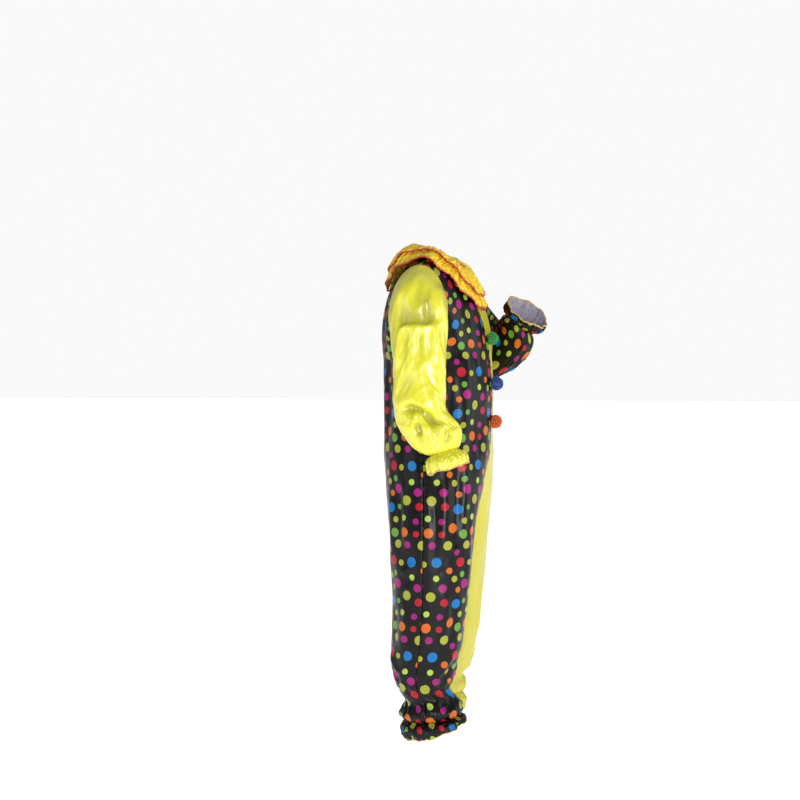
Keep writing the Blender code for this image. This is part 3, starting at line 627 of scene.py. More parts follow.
def yoke_patch(side, face, across, down):
    """The panel above the underarm: a Coons patch between the neckline and shoulder seam, the
    centre line, the armhole and the underarm section, with a swell over the chest."""
    centre_turn = 0.0 if face == FRONT else np.pi
    turn = centre_turn + (SHOULDER_TURN - centre_turn) * np.clip(across / NECK_SHARE, 0, 1)
    along_shoulder = np.clip((across - NECK_SHARE) / (1 - NECK_SHARE), 0, 1)[:, None]
    top = neck_ring(turn) * (1 - along_shoulder) + armhole(face, 0.0) * along_shoulder
    bottom = section_arcs(side, face, np.array([UNDERARM]), across)[0]
    heights = top[0, 2] + (bottom[0, 2] - top[0, 2]) * down
    reach = along(YOKE_PROFILE[face], "reach", heights)
    reach[0], reach[-1] = face * top[0, 1], face * bottom[0, 1]
    centre = np.stack([np.zeros_like(reach), face * reach, heights], axis=-1)
    edge = armhole(face, down)
    u, v = across[None, :, None], down[:, None, None]
    corners = (
        (1 - u) * (1 - v) * top[0] + u * (1 - v) * top[-1]
        + (1 - u) * v * bottom[0] + u * v * bottom[-1]
    )
    patch = (1 - v) * top[None] + v * bottom[None] + (1 - u) * centre[:, None] + u * edge[:, None]
    patch = patch - corners
    if face == FRONT:
        patch[..., 1] += CHEST_SWELL[side] * (np.sin(np.pi * u) * np.sin(np.pi * v))[..., 0]
    return patch


def panel_sheet(side, face, table):
    """A front or back panel with its leg, shoulder to ankle elastic, creased. Returns its points
    in the frame, its normals there, and its flat (across, down) in metres."""
    shares = np.linspace(0, 1, PANEL_LINES)
    yoke = yoke_patch(side, face, shares, np.linspace(0, 1, YOKE_LINES))
    heights = np.linspace(UNDERARM, ANKLE_ELASTIC, LEG_LINES)[1:]
    grid = np.concatenate([yoke, section_arcs(side, face, heights, shares)])
    grid = soften_rows(grid, YOKE_LINES - 1, 9)
    normals = facing(normals_of(grid, False), np.array([0.0, face, 0.0]))
    crotch = YOKE_LINES - 1 + int(np.argmax(heights < CROTCH)) + 1
    normals[:crotch, 0, 0] = 0.0
    normals[crotch:, 0, 1] = 0.0
    normals[YOKE_LINES:, -1, 1] = 0.0
    normals = unit(normals)
    from_centre = arc_lengths(grid, 1)
    from_side = from_centre[:, -1:] - from_centre
    underarm = from_centre[YOKE_LINES - 1, -1]
    on_yoke = np.arange(len(grid))[:, None] < YOKE_LINES
    across = np.where(on_yoke, underarm - from_centre, from_side)
    length = arc_lengths(grid, 0)
    height = grid[..., 2]
    yoke_down = GRAIN_HEIGHT - UNDERARM + length - length[YOKE_LINES - 1]
    down = np.where(on_yoke, yoke_down, GRAIN_HEIGHT - height)
    flat = np.stack([across, height], axis=-1)
    lift = PANEL_RELIEF * crease_field(flat, table)
    lift += PANEL_WAVES.depth * rumple(flat * [1.0, 0.32], PANEL_WAVES.size, side + 2 * face)
    on_leg = smooth_step((CROTCH - height) / 0.2)
    lift += LEG_CRUMPLE.depth * crumple(flat, LEG_CRUMPLE.size, 3 * side + face) * on_leg
    puff = smooth_step((ANKLE_PUFF_TOP - height) / 0.10)
    lift += puff * (
        ANKLE_CRUMPLE.depth * crumple(flat, ANKLE_CRUMPLE.size, side + face)
        + ANKLE_WAVES.depth * rumple(flat, ANKLE_WAVES.size, face)
    )
    gather = smooth_step((ANKLE_GATHER_TOP - height) / 0.07)
    ripple = 2 * np.pi * across / ANKLE_GATHERS.size + 3 * np.sin(across * 47)
    lift += gather * ANKLE_GATHERS.depth * np.sin(ripple)
    edge = np.minimum(from_centre, from_side)
    edge = np.minimum(edge, length[-1:] - length)
    lift *= smooth_step(edge / 0.012)
    seam = np.minimum(from_centre, from_side)
    stitches = np.sin(height * 2 * np.pi / PUCKER_PITCH + 2 * np.sin(height * 31))
    lift += PUCKER * stitches * np.exp(-((seam / PUCKER_REACH) ** 2))
    lift -= SEAM_DIP * np.exp(-((seam / SEAM_HALF) ** 2))
    outward = grid - (grid[-1, 0] + grid[-1, -1]) / 2
    grid = draw_in(grid + normals * lift[..., None], outward, down[-1:] - down)
    if side == RIGHT and face == BACK:
        across = BACK_GRAIN - across
    return place(side, grid), normals * [side, -1, 1], np.stack([across, down], axis=-1)


def soften_rows(grid, row, reach):
    """Rounds off a bend across one row: the rows about it are averaged with their neighbours,
    again and again, less and less away from it."""
    grid = grid.copy()
    for step in range(reach):
        rows = slice(row - reach + step, row + reach - step + 1)
        inner = grid[rows]
        before = grid[rows.start - 1:rows.stop - 1]
        after = grid[rows.start + 1:rows.stop + 1]
        grid[rows] = inner / 2 + (before + after) / 4
    return grid


def ring_points(ring, turns):
    """A tube section: an oval from the outer side (turn 0) round by the front."""
    return np.stack([
        (ring.outer + ring.inner) / 2 + (ring.outer - ring.inner) / 2 * np.cos(turns),
        (ring.front + ring.back) / 2 + (ring.front - ring.back) / 2 * np.sin(turns),
        ring.height + ring.rise * np.cos(turns) + ring.tilt * np.sin(turns),
    ], axis=-1)


def sleeve_head(limb, turns):
    """The armhole seam in a limb's own frame: down the front and up the back, as a sleeve's ring
    goes round."""
    front = armhole(FRONT, turns / np.pi)
    back = armhole(BACK, (2 * np.pi - turns) / np.pi)
    seam = np.where((turns <= np.pi)[:, None], front, back)
    across, ahead = seam[:, 0] - limb.out, seam[:, 1]
    return np.stack([
        across * np.cos(limb.turn) + ahead * np.sin(limb.turn),
        ahead * np.cos(limb.turn) - across * np.sin(limb.turn),
        seam[:, 2],
    ], axis=-1)


def sleeve_sheet(limb, rings, outer_table, inner_table, seed):
    """A set-in sleeve from the armhole to the wrist elastic, creased, and crumpled by its elbow
    and its gathers. Returns points, normals, flat (around, down) and how far each point lies down in
    a fold, from 0 to 1, which sets the painted shade in its folds."""
    turns = np.linspace(0, 2 * np.pi, SLEEVE_ROUND, endpoint=False)
    head = sleeve_head(limb, turns)
    tube = np.array([ring_points(ring, turns) for ring in rings])
    head = head + unit(tube[0] - head) * 2 * SEAM_GAP
    grid = loft(np.concatenate([head[None], tube]), SLEEVE_LINES)
    normals = facing(normals_of(grid, True), away_from_middle(grid))
    down = arc_lengths(grid, 0)
    around = np.broadcast_to(turns * SLEEVE_FLAT / (2 * np.pi), down.shape)
    outer = smooth_step(np.cos(turns) / 0.5 + 0.5)
    side_view = grid[..., 1:]
    lift = SLEEVE_RELIEF * outer * crease_field(side_view, outer_table, SLEEVE_SOFTNESS)
    lift += SLEEVE_RELIEF * (1 - outer) * crease_field(side_view, inner_table, SLEEVE_SOFTNESS)
    mean_down = np.broadcast_to(down.mean(axis=1, keepdims=True), down.shape)
    flat = np.stack([around, mean_down], axis=-1)
    ring_flat = np.stack([np.cos(turns) * 0.08 + down * 0, np.sin(turns) * 0.08 + down], axis=-1)
    lift += SLEEVE_WAVES.depth * rumple(ring_flat, SLEEVE_WAVES.size, seed)
    last = down[-1].mean()
    low = smooth_step((down - last + 0.190) / 0.060)
    folds = lift.copy()
    lift += low * FOREARM_CRUMPLE.depth * crumple(ring_flat, FOREARM_CRUMPLE.size, seed + 1.3)
    gather = smooth_step((down - last + 0.040) / 0.034)
    ripple = WRIST_GATHERS * turns + 1.6 * np.sin(5 * turns) + 2 * np.sin(down * 60)
    lift += gather * WRIST_GATHER_DEPTH * np.cos(ripple)
    head_gather = smooth_step((0.060 - down) / 0.045) * smooth_step(np.cos(turns) + 0.5)
    lift += head_gather * CAP_GATHER_DEPTH * np.cos(CAP_GATHERS * turns + 2 * np.sin(3 * turns))
    lift -= ARMHOLE_DIP.depth * np.exp(-((down / ARMHOLE_DIP.size) ** 2))
    lift *= smooth_step(down / 0.010 + 0.15) * smooth_step((last - mean_down) / 0.008)
    moved = draw_in(grid + normals * lift[..., None], away_from_middle(grid), last - mean_down)
    return moved, normals, flat, np.clip(-folds / FOLD_HOLLOW, 0, 1)


def wave(turns, waves):
    """Gathers round an edge, from -1 to 1, uneven in spacing and depth."""
    bend = 0.9 * np.sin(2 * turns + 0.5) + 0.6 * np.sin(3 * turns + 2.1)
    depth = 0.75 + 0.25 * np.sin(5 * turns + 1.0)
    return depth * np.cos(waves * turns + bend)


def frill_sheet(rings, waves, depth, seed):
    """A gathered frill below an elastic: a smooth tube through its rings with fine gathers at the
    elastic that open into fewer, deeper waves at the hem. Returns points, normals and flat."""
    turns = np.linspace(0, 2 * np.pi, FRILL_ROUND, endpoint=False)
    tube = np.array([ring_points(ring, turns) for ring in rings])
    grid = loft(tube, FRILL_LINES)
    normals = facing(normals_of(grid, True), away_from_middle(grid))
    share = np.linspace(0, 1, FRILL_LINES)[:, None]
    fine = np.cos(3 * waves * turns + 2.2 * np.sin(3 * turns + seed) + 1.5 * share)
    lift = depth * (
        0.8 * share * wave(turns + 0.3 * seed, waves)
        + 0.10 * (0.2 + np.sin(np.pi * share)) * fine
        + 0.30 * share * wave(2 * turns + seed, waves)
    )
    crushed = np.stack([turns * 0.10 + share * 0, share * 0.05 + turns * 0], axis=-1)
    crush = crumple(crushed, FRILL_CRUSH, seed) + 0.7 * crumple(crushed, FRILL_CRINKLE, seed + 2)
    crush = crush - 0.5
    lift += depth * 1.7 * crush * smooth_step(share / 0.2) * (1 - 0.4 * share)
    lift += FRILL_BULGE * np.sin(np.pi * share)
    hem = HEM_UNEVEN * share * (np.sin(3 * turns + seed) + 0.7 * np.sin(7 * turns + 2 * seed))
    grid = grid + unit(grid[-1:] - grid[:1]) * hem[..., None]
    outward = away_from_middle(grid)
    below = arc_lengths(grid, 0)
    tuck = unit(grid[0] - grid[1]) * FRILL_TUCK
    grid = draw_in(grid + normals * lift[..., None], outward, below)
    grid[0] += tuck - unit(outward[0] * [1, 1, 0]) * FRILL_TUCK / 2
    flat_round = FRILL_FULLNESS * np.linalg.norm(np.diff(tube[0], axis=0), axis=-1).sum()
    down = arc_lengths(grid, 0)
    around = np.broadcast_to(turns / (2 * np.pi) * flat_round, down.shape)
    return grid, normals, np.stack([around, down], axis=-1)


def collar_edge(turns):
    """The outer edge of the full collar at turns round the neck from the front, and its crown and
    the upper tier's share there."""
    mirrored = [row._replace(turn=-row.turn, out=-row.out) for row in COLLAR_EDGE[1:3]]
    beyond = [row._replace(turn=360 - row.turn, out=-row.out) for row in COLLAR_EDGE[-3:-1]]
    rows = mirrored[::-1] + COLLAR_EDGE + beyond[::-1]
    degrees = np.degrees(np.abs(turns))
    points = np.stack([
        along(rows, "out", degrees) * np.sign(turns),
        along(rows, "ahead", degrees) + COLLAR_LEAD * np.sin(turns),
        along(rows, "height", degrees),
    ], axis=-1)
    return points, along(rows, "crown", degrees), along(rows, "share", degrees)


def collar_sheet(tier, full, seed):
    """A gathered collar tier: from the neck seam to the collar's edge in a rounded crown, lifted
    off the shoulders, with pleats that are fine at the neck and open outwards, crushed between
    them. Returns points, normals, flat (around, out) and how far down each point lies in its
    pleat, from 0 on a ridge to 1 deep in a fold, which sets the orange painted shade there."""
    turns = np.linspace(-np.pi + COLLAR_SLIT, np.pi - COLLAR_SLIT, COLLAR_ROUND + 1)
    edge, crown, share = collar_edge(turns)
    neck = neck_ring(turns)
    if full:
        share = np.ones_like(share)
    rows = np.linspace(0, 1, COLLAR_LINES)[:, None]
    width = TIER_START + (share - TIER_START) * rows
    wide = width[..., None]
    up = unit(np.cross(unit(edge - neck), unit(np.gradient(edge + neck, axis=0))))
    up = up * np.sign(up[..., 2:3])
    settle = smooth_step(width / 0.35)
    base = tier.seam_lift + (tier.skirt_lift - tier.seam_lift) * settle
    base = base + crown * np.sin(np.pi * width ** 0.8)
    bend = 0.7 * np.sin(3 * turns + seed) + 0.5 * np.sin(7 * turns + 2 * seed)
    bend = bend + 0.35 * np.sin(13 * turns + 3 * seed + 2.5 * rows)
    deep = 0.55 + 0.45 * np.sin(9 * turns + seed + 3 * rows)
    pleats = deep * np.cos(COLLAR_PLEATS * turns + 3.2 * bend + 1.1 * np.sin(5 * rows + seed))
    fine = np.cos(2.3 * COLLAR_PLEATS * turns + 6 * bend + 1.8 * np.sin(9 * rows + 2 * seed))
    rippled = np.stack([turns * 0.13 + rows * 0, width * 0.13 + turns * 0], axis=-1)
    crushed = crumple(rippled, COLLAR_CRUSH, seed) + 0.6 * crumple(rippled, COLLAR_CRINKLE, seed + 2)
    opening = 0.75 + 0.25 * np.sin(np.pi * rows) - 0.5 * rows ** 2
    lift = base + COLLAR_DEPTH * (
        0.80 * opening * pleats + 0.15 * fine + 2.0 * (crushed - 0.5) * (1 - 0.5 * rows ** 3)
    )
    lift = lift + COLLAR_SWAY * width * wave(turns, COLLAR_SWAYS)
    # How far down in its pleat each point lies, which sets the orange painted shade there.
    painted_shade = np.clip(0.5 - 0.30 * pleats - 0.15 * fine - 0.8 * (crushed - 0.5), 0, 1)
    line = neck * (1 - wide) + edge * wide
    flutter = COLLAR_FLUTTER * rows ** 3 * np.sin(COLLAR_PLEATS * turns + 3.2 * bend + 1.3)
    outward = unit(edge - neck)
    grid = line + up * lift[..., None] + outward * flutter[..., None]
    grid = place(LEFT, grid)
    normals = facing(normals_of(grid, False), place_direction(LEFT, up))
    around = np.broadcast_to(turns * COLLAR_FLAT / (2 * np.pi), width.shape)
    return grid, normals, np.stack([around, arc_lengths(grid, 0)], axis=-1), painted_shade


def place_direction(side, directions):
    """Directions in (out, ahead, height) to directions in the frame."""
    return directions * np.array([side, -1.0, 1.0])


def band_rings(path, outward, run, width):
    """A folded band round a cloth edge: at each point of the path of the edge, a flattened ring of
    points, width across and the band's thickness through. run is the direction from the cloth
    out over its edge, and outward is the cloth's normal."""
    turns = (np.linspace(0, 2 * np.pi, BAND_SIDES, endpoint=False) + np.pi / BAND_SIDES)[:, None]
    sideways = run[:, None] * (np.cos(turns) * width / 2)
    through_cloth = unit(outward)[:, None] * (np.sin(turns) * BAND_THICKNESS / 2)
    return path[:, None] + sideways + through_cloth


def quad_faces(rows, columns, loop):
    """Corner indices of a grid's quads, and the same with the last column kept apart from the
    first, for flat coordinates that don't wrap."""
    steps = columns if loop else columns - 1
    row, column = np.meshgrid(np.arange(rows - 1), np.arange(steps), indexing="ij")
    corner_rows = np.stack([row, row, row + 1, row + 1], axis=-1).reshape(-1, 4)
    corner_columns = np.stack([column, column + 1, column + 1, column], axis=-1).reshape(-1, 4)
    points = corner_rows * columns + corner_columns % columns
    flats = corner_rows * (steps + 1) + corner_columns
    return points, flats


def make_piece(name, points, faces, materials, corners=None, values=None, smooth=True):
    """A named mesh of these points and faces, with its cloth coordinates for each face corner and
    its named values for each point."""
    mesh = bpy.data.meshes.new(name)
    mesh.from_pydata(points.reshape(-1, 3).tolist(), [], faces)
    mesh.polygons.foreach_set("use_smooth", np.full(len(faces), smooth))
    if corners is not None:
        layer = mesh.uv_layers.new(name="cloth")
        layer.data.foreach_set("uv", corners.reshape(-1).astype(np.float32))
    for key, numbers in (values or {}).items():
        attribute = mesh.attributes.new(key, "FLOAT", "POINT")
        attribute.data.foreach_set("value", numbers.reshape(-1).astype(np.float32))
    for item in materials:
        mesh.materials.append(item)
    mesh.update()
    piece = bpy.data.objects.new(name, mesh)
    bpy.context.scene.collection.objects.link(piece)
    return piece


def turned_out(grid, points, outward):
    """1 if the quads with these corners face outward on the whole, or -1 if they face inward."""
    corners = grid.reshape(-1, 3)[points]
    faces = np.cross(corners[:, 1] - corners[:, 0], corners[:, 3] - corners[:, 0])
    return -1 if np.sum(faces * outward.reshape(-1, 3)[points[:, 0]]) < 0 else 1


def cloth_piece(name, grid, normals, flat, materials, loop=False, values=None, thickness=None):
    """A grid of cloth as a thin shell: its right side faces along its normals, and its wrong side
    lies the cloth's thickness further in. The second material, if any, is its wrong side."""
    points, flats = quad_faces(*grid.shape[:2], loop)
    order = turned_out(grid, points, normals)
    if loop:
        whole = flat[:, -1:] + (flat[:, -1:] - flat[:, -2:-1])
        flat = np.concatenate([flat, whole], axis=1)
    corner_flat = flat.reshape(-1, 2)[flats[:, ::order]]
    piece = make_piece(name, grid, points[:, ::order].tolist(), materials, corner_flat, values)
    shell = piece.modifiers.new("thickness", "SOLIDIFY")
    shell.thickness = thickness or sizes().cloth_thickness
    shell.offset = -1.0
    if len(materials) > 1:
        shell.material_offset = 1
    return piece


def band_piece(name, path, outward, run, width, material, loop):
    """A folded band along a cloth edge, closed all round and at its ends."""
    grid = band_rings(path, outward, run, width)
    points, flats = quad_faces(len(grid) + loop, BAND_SIDES, True)
    points = points % (len(grid) * BAND_SIDES)
    order = turned_out(grid, points, away_from_middle(grid))
    steps = np.linalg.norm(np.diff(path, axis=0, append=path[:1]), axis=-1)
    lengths = np.concatenate([[0], np.cumsum(steps)])[:len(grid) + loop]
    around = np.arange(BAND_SIDES + 1) * (2 * width / BAND_SIDES)
    flat = np.stack(np.broadcast_arrays(lengths[:, None], around[None]), axis=-1).reshape(-1, 2)
    piece = make_piece(name, grid, points[:, ::order].tolist(), [material], flat[flats[:, ::order]])
    if not loop:
        close_ends(piece)
    return piece


def edge_band(name, grid, normals, thickness, width, material, loop):
    """A band folded over the last row of a sheet of cloth of this thickness."""
    run = unit(grid[-1] - grid[-3])
    path = grid[-1] - normals[-1] * thickness / 2 - run * width * BAND_SET
    return band_piece(name, path, normals[-1], run, width, material, loop)


def close_ends(piece):
    """Fills the open rings at a band's two ends."""
    shape = bmesh.new()
    shape.from_mesh(piece.data)
    open_edges = [edge for edge in shape.edges if edge.is_boundary]
    bmesh.ops.holes_fill(shape, edges=open_edges, sides=0)
    bmesh.ops.recalc_face_normals(shape, faces=shape.faces)
    shape.to_mesh(piece.data)
    shape.free()


def yarn_ball(spec, strands, length, seed):
    """A cut-yarn ball as many short yarns: each is a three-sided tube from inside the ball to its
    surface, in directions spread evenly by the golden angle, bent a little to one side and cut at
    its own length. Points behind the ball's foot are pressed flat against the cloth. Returns
    points and faces, and for each point its yarn's shade and how far out along the yarn it is."""
    draw = np.random.default_rng(seed)
    index = np.arange(strands) + 0.5
    height = 1 - 2 * index / strands
    turn = index * GOLDEN_ANGLE
    level = np.sqrt(1 - height * height)
    heading = np.stack([level * np.cos(turn), level * np.sin(turn), height], axis=-1)
    heading = unit(heading + draw.normal(0, 0.05, heading.shape))
    side = unit(np.cross(heading, draw.normal(0, 1, heading.shape)))
    other = np.cross(heading, side)
    ends = spec.radius * (0.93 + 0.07 * draw.random(strands))
    ends = ends + length * draw.normal(0, 0.12, strands)
    ends = np.minimum(ends, spec.radius * YARN_CUT)
    starts = spec.radius * YARN_ROOT
    bend = draw.normal(0, 0.10, (strands, 2)) * spec.radius
    reach = starts + (ends[:, None] - starts) * YARN_WAYS
    lean = (side * bend[:, :1] + other * bend[:, 1:])[:, None]
    centre = heading[:, None] * reach[..., None] + lean * (YARN_WAYS ** 2)[:, None]
    thick = spec.radius * YARN_THICKNESS
    spin = draw.random(strands)[:, None] * 2 * np.pi
    spin = spin + np.arange(YARN_SIDES) * 2 * np.pi / YARN_SIDES
    ring = side[:, None] * np.cos(spin)[..., None] + other[:, None] * np.sin(spin)[..., None]
    points = centre[:, :, None] + ring[:, None] * thick[:, None, None]
    points[..., 1] = np.minimum(points[..., 1], spec.ahead - spec.foot) - spec.ahead
    points[..., 2] += spec.height - ORIGIN_HEIGHT
    each = YARN_SIDES * len(YARN_WAYS)
    first = np.arange(strands)[:, None, None] * each
    ring_start = first + np.arange(len(YARN_WAYS) - 1)[None, :, None] * YARN_SIDES
    corner = np.arange(YARN_SIDES)
    here, beside = ring_start + corner, ring_start + (corner + 1) % YARN_SIDES
    walls = np.stack([here, beside, beside + YARN_SIDES, here + YARN_SIDES], axis=-1).reshape(-1, 4)
    root = (first + corner[::-1]).reshape(-1, YARN_SIDES)
    tip = (first + each - YARN_SIDES + corner).reshape(-1, YARN_SIDES)
    caps = np.concatenate([root, tip])
    shade = np.repeat(draw.random(strands), each)
    depth = np.tile(np.repeat(YARN_WAYS, YARN_SIDES), strands)
    return points, walls.tolist() + caps.tolist(), shade, depth


def sizes():
    """The sizes and colours that a user can change."""
    return bpy.context.scene.clown_jumpsuit


def add(material, kind, inputs=None, **settings):
    """A node of this kind, with its settings, and its inputs set or linked by name or place."""
    made = material.node_tree.nodes.new("ShaderNode" + kind)
    for key, value in settings.items():
        setattr(made, key, value)
    for key, value in (inputs or {}).items():
        socket = made.inputs[key]
        if isinstance(value, bpy.types.NodeSocket):
            material.node_tree.links.new(value, socket)
        else:
            socket.default_value = value
    return made


FINISH_MARK = "_finish"


def new_material(name, **finish):
    """An empty Principled material with these constant finish values."""
    material = bpy.data.materials.new(name + FINISH_MARK)
    material.use_nodes = True
    shader = material.node_tree.nodes["Principled BSDF"]
    for key, value in finish.items():
        shader.inputs[key.replace("_", " ")].default_value = value
    return material, shader


def colour_of(rgb):
    """A colour as a node socket takes it."""
    return (*rgb, 1.0)


def mixed(material, factor, first, second):
    """A mix of two colours, each a socket or a fixed colour."""
    return add(material, "Mix", {0: factor, 6: first, 7: second}, data_type="RGBA").outputs[2]


def shaded(rgb, share):
    """A colour at this share of its brightness."""
    return colour_of([channel * share for channel in rgb])


def stretched(material, vector, across, down):
    """A flat place at this many times its size across and down."""
    return add(material, "Mapping", {"Vector": vector, "Scale": (across, down, 1)}).outputs[0]


def noise(material, vector, scale, detail, distortion=0.0):
    """Soft noise between 0 and 1 over the vector."""
    inputs = {"Vector": vector, "Scale": scale, "Detail": detail, "Distortion": distortion}
    return add(material, "TexNoise", inputs).outputs[0]


def value_of(material, name):
    """A named value of the piece's points."""
    return add(material, "Attribute", attribute_name=name).outputs[2]


def paint(material, shader, colour):
    """Gives the shader this colour."""
    material.node_tree.links.new(colour, shader.inputs["Base Color"])


def emboss(material, shader, height, strength, distance):
    """Gives the shader a bump of this height."""
    bump = add(material, "Bump", {"Height": height, "Strength": strength, "Distance": distance})
    material.node_tree.links.new(bump.outputs[0], shader.inputs["Normal"])


def satin_weave(material, shader, flat, strength, pull=0.5):
    """The thread of a satin cloth as a bump: very long thin waves along the cloth, with slight
    pulls in it."""
    grain = noise(material, stretched(material, flat, 2600, 240), 1.0, 1.0)
    slack = noise(material, stretched(material, flat, 90, 28), 1.0, 3.0, 0.6)
    height = add(material, "Math", {0: slack, 1: pull, 2: 0.0}, operation="MULTIPLY").outputs[0]
    height = add(material, "Math", {0: grain, 1: 0.06, 2: height},
                 operation="MULTIPLY_ADD").outputs[0]
    emboss(material, shader, height, strength, 0.0022)


def cloth_uv(material):
    """The cloth's own flat coordinates, in metres."""
    return add(material, "UVMap", uv_map="cloth").outputs[0]


def dotted_satin():
    """Black satin with round dots in seven colours. The dots lie on a tile that repeats over the
    flat cloth: for each one, the flat place is wrapped about the dot's middle, and the dot's
    colour covers everything nearer than its radius."""
    material, shader = new_material("dotted_satin", Roughness=0.32, Sheen_Weight=0.02,
                                    Sheen_Roughness=0.35)
    shader.inputs["Sheen Tint"].default_value = (0.80, 0.76, 0.90, 1)
    shader.inputs["Specular IOR Level"].default_value = 0.24
    flat = cloth_uv(material)
    millimetres = add(material, "VectorMath", {0: flat, 1: (1000, 1000, 0)},
                      operation="MULTIPLY").outputs[0]
    drift = add(material, "TexNoise", {"Vector": flat, "Scale": 120.0, "Detail": 1.0}).outputs[1]
    drift = add(material, "VectorMath", {0: drift, 1: (1.3, 1.3, 0.0), 2: (-0.65, -0.65, 0)},
                operation="MULTIPLY_ADD").outputs[0]
    millimetres = add(material, "VectorMath", {0: millimetres, 1: drift}, operation="ADD").outputs[0]
    fade = noise(material, flat, 22.0, 2.0)
    colour = colour_of(sizes().satin_black)
    half = (DOT_TILE[0] / 2, DOT_TILE[1] / 2, 1)
    for dot in DOTS:
        offset = add(material, "VectorMath", {0: millimetres, 1: (dot.across, dot.down, 0)},
                     operation="SUBTRACT").outputs[0]
        near = add(material, "VectorMath", {0: offset, 1: half, 2: (-half[0], -half[1], -1)},
                   operation="WRAP").outputs[0]
        distance = add(material, "VectorMath", {0: near}, operation="LENGTH").outputs[1]
        cover = add(material, "MapRange", {0: distance, 1: dot.radius - 0.5, 2: dot.radius + 0.5,
                                           3: 1.0, 4: 0.0}, interpolation_type="SMOOTHSTEP")
        colour = mixed(material, cover.outputs[0], colour, shaded(DOT_COLOURS[dot.colour], DOT_SHADE))
    wear = mixed(material, fade, colour_of((0.82, 0.82, 0.82)), colour_of((1.0, 1.0, 1.0)))
    colour = add(material, "Mix", {0: 1.0, 6: colour, 7: wear}, data_type="RGBA",
                 blend_type="MULTIPLY").outputs[2]
    paint(material, shader, colour)
    satin_weave(material, shader, flat, 0.35)
    return material


def satin_wrong_side():
    """The dull grey back of the dotted satin, cloudy in tone."""
    material, shader = new_material("dotted_satin_wrong_side", Roughness=0.62)
    flat = cloth_uv(material)
    cloud = noise(material, flat, 60.0, 3.0)
    colour = mixed(material, cloud, colour_of((0.20, 0.18, 0.23)), colour_of((0.42, 0.39, 0.47)))
    paint(material, shader, colour)
    satin_weave(material, shader, flat, 0.3)
    return material


def plain_satin(name, light, dark, roughness, strength, gloss):
    """Plain glossy satin, a little deeper in colour in soft random patches, and with painted shade
    down in its folds, where its colour is darker still."""
    material, shader = new_material(name, Roughness=roughness, Sheen_Weight=0.10,
                                    Sheen_Roughness=0.3)
    shader.inputs["Specular IOR Level"].default_value = 0.75
    shader.inputs["Coat Weight"].default_value = gloss
    shader.inputs["Coat Roughness"].default_value = 0.30
    flat = cloth_uv(material)
    cloud = noise(material, flat, 14.0, 3.0)
    colour = mixed(material, cloud, colour_of(dark), colour_of(light))
    # Painted shade: down in a fold the colour goes over to the deeper colour at FOLD_SHADE of its
    # brightness.
    colour = mixed(material, value_of(material, "painted_shade"), colour, shaded(dark, FOLD_SHADE))
    paint(material, shader, colour)
    satin_weave(material, shader, flat, strength)
    return material


def gold_ruffle():
    """Crushed golden satin, with orange painted shade down in its pleats, broken up by random flecks.
    """
    material, shader = new_material("gold_ruffle", Roughness=0.34, Sheen_Weight=0.08)
    shader.inputs["Specular IOR Level"].default_value = 0.7
    flat = cloth_uv(material)
    painted_shade = value_of(material, "painted_shade")
    fleck = noise(material, stretched(material, flat, 55, 55), 1.0, 2.0, 1.2)
    # Painted shade: the colour goes orange where the pleat depth, with a random fleck added, is high.
    deep = add(material, "Math", {0: fleck, 1: 0.7, 2: painted_shade}, operation="MULTIPLY_ADD").outputs[0]
    deep = add(material, "MapRange", {0: deep, 1: 0.80, 2: 1.30, 3: 0.0, 4: 1.0},
               interpolation_type="SMOOTHSTEP").outputs[0]
    colour = mixed(material, deep, colour_of(sizes().ruffle_gold), colour_of(sizes().ruffle_shade))
    paint(material, shader, colour)
    satin_weave(material, shader, flat, 0.40, pull=1.0)
    return material


def woven_band(name, rgb, roughness, ribs):
    """A narrow woven band: fine ribs across it, a little worn in colour."""
    material, shader = new_material(name, Roughness=roughness, Sheen_Weight=0.15)
    flat = cloth_uv(material)
    rib = stretched(material, flat, ribs, 60)
    thread = add(material, "TexWave", {"Vector": rib, "Scale": 1.0, "Distortion": 0.6,
                                       "Detail": 1.0}).outputs[1]
    cloud = noise(material, flat, 45.0, 3.0)
    colour = mixed(material, cloud, shaded(rgb, 0.72), shaded(rgb, 1.22))
    paint(material, shader, colour)
    emboss(material, shader, thread, 0.5, 0.0004)
    return material


def yarn_pile(name, rgb):
    """Matted yarn: each yarn its own shade of its colour, with painted shade darkening it down in the
    ball, towards the yarns' roots.
    """
    material, shader = new_material(name, Roughness=0.85, Sheen_Weight=0.45)
    shader.inputs["Sheen Roughness"].default_value = 0.5
    shader.inputs["Specular IOR Level"].default_value = 0.2
    tips = mixed(material, value_of(material, "shade"), shaded(rgb, 0.72), shaded(rgb, 1.25))
    # Painted shade: each yarn darkens from its tip to a quarter of its colour at its root, deep in
    # the ball.
    colour = mixed(material, value_of(material, "depth"), shaded(rgb, 0.25), tips)
    paint(material, shader, colour)
    return material


def cloth(name):
    """The named finish, made once. The frame's own plain materials have the bare names."""
    made = bpy.data.materials.get(name + FINISH_MARK)
    return made or MAKERS[name]()


MAKERS = {
    "dotted_satin": dotted_satin,
    "dotted_satin_wrong_side": satin_wrong_side,
    # yellow_satin and sleeve_satin are one yellow satin; the yellow half's darker colours are painted
    # shade.
    "yellow_satin": lambda: plain_satin("yellow_satin", sizes().satin_yellow,
                                        sizes().satin_yellow_shade, 0.33, 0.20, 0.3),
    "sleeve_satin": lambda: plain_satin("sleeve_satin", sizes().sleeve_yellow,
                                        sizes().sleeve_yellow_shade, 0.30, 0.12, 0.8),
    "gold_ruffle": gold_ruffle,
    "red_trim": lambda: woven_band("red_trim", sizes().trim_red, 0.55, 700),
    "gold_binding": lambda: woven_band("gold_binding", sizes().binding_gold, 0.45, 600),
    "green_pile": lambda: yarn_pile("green_pile", sizes().pile_green),
    "blue_pile": lambda: yarn_pile("blue_pile", sizes().pile_blue),
    "orange_pile": lambda: yarn_pile("orange_pile", sizes().pile_orange),
}

